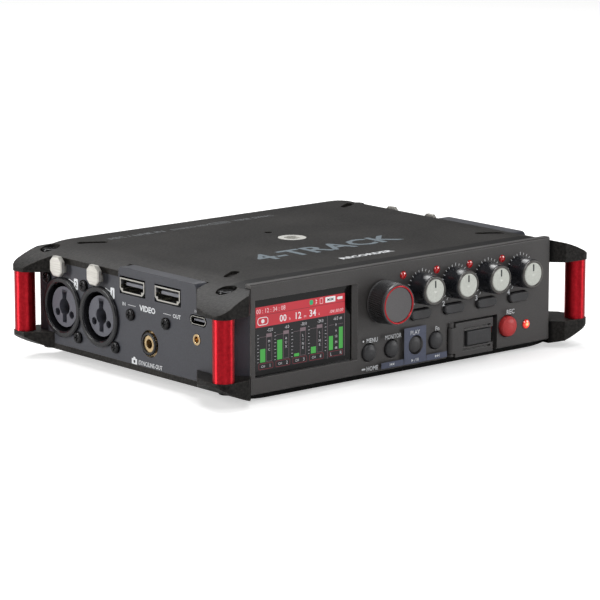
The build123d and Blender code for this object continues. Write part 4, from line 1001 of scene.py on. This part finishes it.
@dataclass
class SidePrinting:
    """Socket names on the two side panels and the rear."""

    def tags(self, side: str, face: PrintFace, places: dict[int, float]) -> None:
        """Presses the numbered white tags of one side; places gives each number's distance across."""
        plate = Printing(f"{side}_tags", face, 0.01, 0.015)
        digit = Printing(f"{side}_tag_digits", face, 0.028, 0.01)
        for number, across in places.items():
            plate.solid(Printing.rounded(across - 1.25, across + 1.25, 29.5, 33.8, 0.5))
            digit.word(str(number), across, 31.7, 2.5, bold=0.01)
        plate.press(INK_WHITE, "recorder", "panel_grey")
        digit.press(INK_DARK, "recorder", "panel_grey")

    def build(self) -> None:
        """Prints the left side, then the right side and the rear."""
        ink = Printing("left_lettering", LEFT_FACE, 0.01)
        left = {2: -37.4, 1: -14.3}
        self.tags("left", LEFT_FACE, left)
        for across in left.values():
            ink.solid(np.array([[-4.6, 33.0], [-4.5, 33.25], [-1.25, 32.2], [-1.25, 31.9]]) + [across, 0.0])
        ink.word("IN", -7.2, 28.75, 1.5)
        ink.block(-4.7, 0.0, 28.67, 28.83)
        ink.word("VIDEO", 7.2, 28.75, 2.2, bold=0.03, stretch=1.08)
        ink.block(16.7, 21.3, 28.67, 28.83)
        ink.word("OUT", 24.8, 28.8, 1.6, bold=0.01)
        ink.word("DATA", 36.9, 32.6, 1.0, stretch=0.85)
        z, u = 7.7, -1.1
        ink.solid(np.array([[u - 1.6, z - 1.2], [u + 1.6, z - 1.2], [u + 1.6, z + 0.9], [u + 0.8, z + 0.9],
                            [u + 0.45, z + 1.6], [u - 0.45, z + 1.6], [u - 0.8, z + 0.9], [u - 1.6, z + 0.9]]))
        ink.word("/SYNC/LINE-OUT", 1.3, z, 1.75, Align.LEFT, bold=0.008, stretch=0.8)
        ink.press(INK_WHITE, "recorder", "panel_grey")
        hole = Printing("left_icon_cut", LEFT_FACE, 0.032, 0.008)
        hole.disc(u, z - 0.15, 0.6, 16)
        hole.press(INK_DARK, "recorder", "panel_grey")

        right = Printing("right_lettering", RIGHT_FACE, 0.01)
        self.tags("right", RIGHT_FACE, {3: 14.3, 4: 37.4})
        right.word("POWER", -19.0, 36.6, 1.6)
        right.word("LEVEL", -36.0, 18.6, 1.6)
        right.word("PHONES", -8.3, 10.3, 1.7)
        angles = np.radians(np.linspace(-140, 140, 11))
        right.rays(-36.0, 26.0, 5.6, np.full(11, 6.4), 0.24, angles)
        right.press(INK_WHITE, "recorder", "panel_grey")
        rear = Printing("rear_lettering", REAR_FACE, 0.01)
        rear.word("BATTERY", -44.0, 32.6, 2.0, bold=0.008)
        rear.word("OPEN", 44.0, 20.0, 1.6)
        rear.press(INK_WHITE, "recorder", "panel_grey")


@dataclass
class SocketContacts:
    """Gilt spring leaves deep in each plug hole, and the raised word on each core."""

    leaf: float = 1.3

    def build(self) -> None:
        """Adds two leaves to each socket, and one word per core."""
        face_x = low_high("jack_cores")[1][0]
        z0 = float(middle("jack_cores")[2])
        count = 0
        rows = sorted({round(float(middle(f"release_tab_{k}")[1]), 2) for k in range(1, 5)})
        for side in (-1, 1):
            for y0 in rows:
                count += 1
                t = np.linspace(0, 1, 9)
                line = np.column_stack([face_x - 3.4 - 7.0 * t, 3.05 - 1.9 * np.sin(t * math.pi) ** 2])
                across = np.array([-self.leaf / 2, self.leaf / 2])
                lower = np.stack([np.repeat(line[:, :1], 2, 1), across + 0 * line[:, :1],
                                  np.repeat(line[:, 1:], 2, 1)], -1)
                upper = lower + [0.0, 0.0, 0.16]
                ring = np.concatenate([lower, upper[:, ::-1]], 1)
                base = ring.reshape(-1, 3)
                faces = lattice(len(t), 4, True).tolist() + [[0, 1, 2, 3], [32, 33, 34, 35]]
                for turn in (0.0, 180.0):
                    c, s = math.cos(math.radians(turn)), math.sin(math.radians(turn))
                    spun = np.column_stack([base[:, 0] * side, base[:, 1] * c - base[:, 2] * s,
                                            base[:, 1] * s + base[:, 2] * c])
                    piece(f"jack_leaf_{count}_{int(turn)}", spun + [0, y0, z0], faces, GILT, "recorder")
                face = PrintFace((side * face_x, 0, 0), (0, side, 0), (0, 0, 1))
                word = Printing(f"jack_word_{count}", face, 0.005, 0.12)
                word.word("PUSH", side * y0, z0 + 6.35, 1.05, bold=0.006)
                word.press(JACK_CORE, "recorder", "jack_core_grey")
        LOG.info("socket contacts: %d sockets", count)


@dataclass
class FerruleNuts:
    """Serrated dark nuts round the two small jacks."""

    teeth: int = 30
    inner: float = 3.35
    outer: float = 4.25
    depth: float = 0.7

    def build(self) -> None:
        """A ring whose outer radius is the mean plus a square-ish wave of the turn angle."""
        low, high = low_high("mini_jacks")
        y, z = float((low[1] + high[1]) / 2), float((low[2] + high[2]) / 2)
        turn = np.linspace(0, 2 * math.pi, self.teeth * 6, endpoint=False)
        wave = 0.16 * np.tanh(3 * np.sin(turn * self.teeth))
        x0 = abs(LEFT_X) + 0.02
        loops = [(self.inner + 0 * turn, x0), (self.outer + wave, x0), (self.outer + wave, x0 + self.depth * 0.7),
                 (self.outer - 0.25 + wave * 0.6, x0 + self.depth), (self.inner + 0 * turn, x0 + self.depth)]
        for side, label in ((-1, "left"), (1, "right")):
            rows = np.stack([np.column_stack([np.full(len(turn), x * side), y + r * np.cos(turn),
                                              z + r * np.sin(turn)]) for r, x in loops + loops[:1]])
            faces = lattice(len(rows), len(turn), True).tolist()
            piece(f"ferrule_nut_{label}", rows.reshape(-1, 3), faces, SOCKET_BLACK, "recorder")
        LOG.info("ferrule nuts: %d teeth", self.teeth)


@dataclass
class Studio:
    """Pale floor, soft lamps and the camera."""

    floor: float = 4.0
    eye: tuple[float, float, float] = (-0.81237, -0.94887, 0.27238)
    aim: tuple[float, float, float] = (-0.01947, -0.0192, 0.02574)
    lens: float = 195.24
    air: float = 0.12

    def floor_material(self) -> bpy.types.Material:
        """Pale matt paper: near white, faintly clouded, lifted a little so that it reads as white."""
        made, wire, where = open_material("floor_pale")
        cloud = wire.add("ShaderNodeTexNoise", {"Vector": where, "Scale": 3.0, "Detail": 2.0})
        seen = wire.add("ShaderNodeLightPath").outputs["Is Camera Ray"]
        pale = wire.blend(cloud.outputs[0], paint(232, 232, 232), paint(240, 240, 240))
        tone = wire.blend(seen, paint(212, 212, 212), pale)
        shader = wire.add("ShaderNodeBsdfPrincipled", {
            "Base Color": tone, "Roughness": 0.9, "Specular IOR Level": 0.1,
            "Emission Color": (1.0, 1.0, 1.0, 1.0), "Emission Strength": wire.sum("MULTIPLY", seen, 0.5)})
        wire.add("ShaderNodeOutputMaterial", {"Surface": shader.outputs[0]})
        return made

    def lamp(self, name: str, spot: tuple[float, float, float], size: tuple[float, float], watts: float,
             tint: tuple[float, float, float] = (1.0, 1.0, 1.0)) -> None:
        """Hangs one soft rectangular lamp that faces the recorder."""
        data = bpy.data.lights.new(name, "AREA")
        data.shape, data.size, data.size_y, data.energy, data.color = "RECTANGLE", *size, watts, tint
        holder = bpy.data.objects.new(name, data)
        holder.location = spot
        away = np.array(spot) - np.array([0.0, 0.0, 0.02])
        holder.rotation_mode = "QUATERNION"
        holder.rotation_quaternion = Vector(away.tolist()).to_track_quat("Z", "Y")
        bpy.context.scene.collection.objects.link(holder)

    def build(self) -> None:
        """Makes the floor, the lamps, the sky and the camera."""
        side = np.linspace(-self.floor, self.floor, 9)
        x, y = np.meshgrid(side, side, indexing="ij")
        points = np.stack([x, y, 0 * x - 0.0002], -1).reshape(-1, 3)
        mesh = bpy.data.meshes.new("studio_floor")
        mesh.from_pydata(points.tolist(), [], lattice(9, 9, False).tolist())
        floor = bpy.data.objects.new("studio_floor", mesh)
        floor.data.materials.append(self.floor_material())
        bpy.context.scene.collection.objects.link(floor)
        self.lamp("lamp_top", (-0.1, -0.05, 1.2), (0.9, 0.7), 6.0)
        self.lamp("lamp_back", (0.4, 0.85, 1.0), (0.9, 0.3), 8.0)
        self.lamp("lamp_left", (-1.2, 0.72, 0.3), (0.3, 1.2), 19.0, (1.0, 0.99, 0.97))
        self.lamp("lamp_front", (0.85, -0.8, 0.28), (0.35, 0.4), 3.6)
        self.lamp("lamp_key", (-0.45, -1.1, 0.95), (0.6, 0.4), 5.0)
        world = bpy.data.worlds.new("studio_air")
        bpy.context.scene.world = world
        world.use_nodes = True
        wire = Wiring(world.node_tree)
        seen = wire.add("ShaderNodeLightPath").outputs["Is Camera Ray"]
        glow = wire.sum("MULTIPLY_ADD", seen, 0.88, self.air)
        back = wire.add("ShaderNodeBackground", {"Color": (1.0, 1.0, 1.0, 1.0), "Strength": glow})
        wire.add("ShaderNodeOutputWorld", {"Surface": back.outputs[0]})
        bpy.context.scene.view_settings.view_transform = "Standard"
        data = bpy.data.cameras.new("camera")
        data.lens, data.sensor_width, data.clip_start, data.clip_end = self.lens, 36.0, 0.02, 30.0
        holder = bpy.data.objects.new("camera", data)
        holder.location = self.eye
        away = np.array(self.eye) - np.array(self.aim)
        holder.rotation_mode = "QUATERNION"
        holder.rotation_quaternion = Vector(away.tolist()).to_track_quat("Z", "Y")
        bpy.context.scene.collection.objects.link(holder)
        bpy.context.scene.camera = holder
        LOG.info("studio ready")


def dress_nodes() -> None:
    """Gives every CAD node the finish of its material slot."""
    lit = LampFinish("lamp_red", (176, 22, 26), (LAMP_AT[0], FRONT_Y - 0.6, LAMP_AT[1]), 2.6)
    own = {"indicator_lenses": lit, "port_tongues": TONGUE, "gain_pots": PLATED,
           "tripod_sockets": SOCKET_RING, "card_door": DOOR}
    for part in frame["record"]["subparts"]:
        node = frame["nodes"][part["node"]]
        finish = own.get(part["node"]) or SLOT_FINISH[part["material_slot"]]
        node.data.materials.clear()
        node.data.materials.append(finish.material())
    LOG.info("dressed %d CAD nodes", len(frame["nodes"]))


def main() -> None:
    """Builds everything in order."""
    logging.basicConfig(level=logging.INFO, format="%(name)s: %(message)s")
    dress_nodes()
    for part in (JogDial(), FrontPrinting(), Display(), TopPrinting(), SidePrinting(), SocketContacts(),
                 FerruleNuts(), Studio()):
        part.build()


if __name__ == "__main__":
    main()
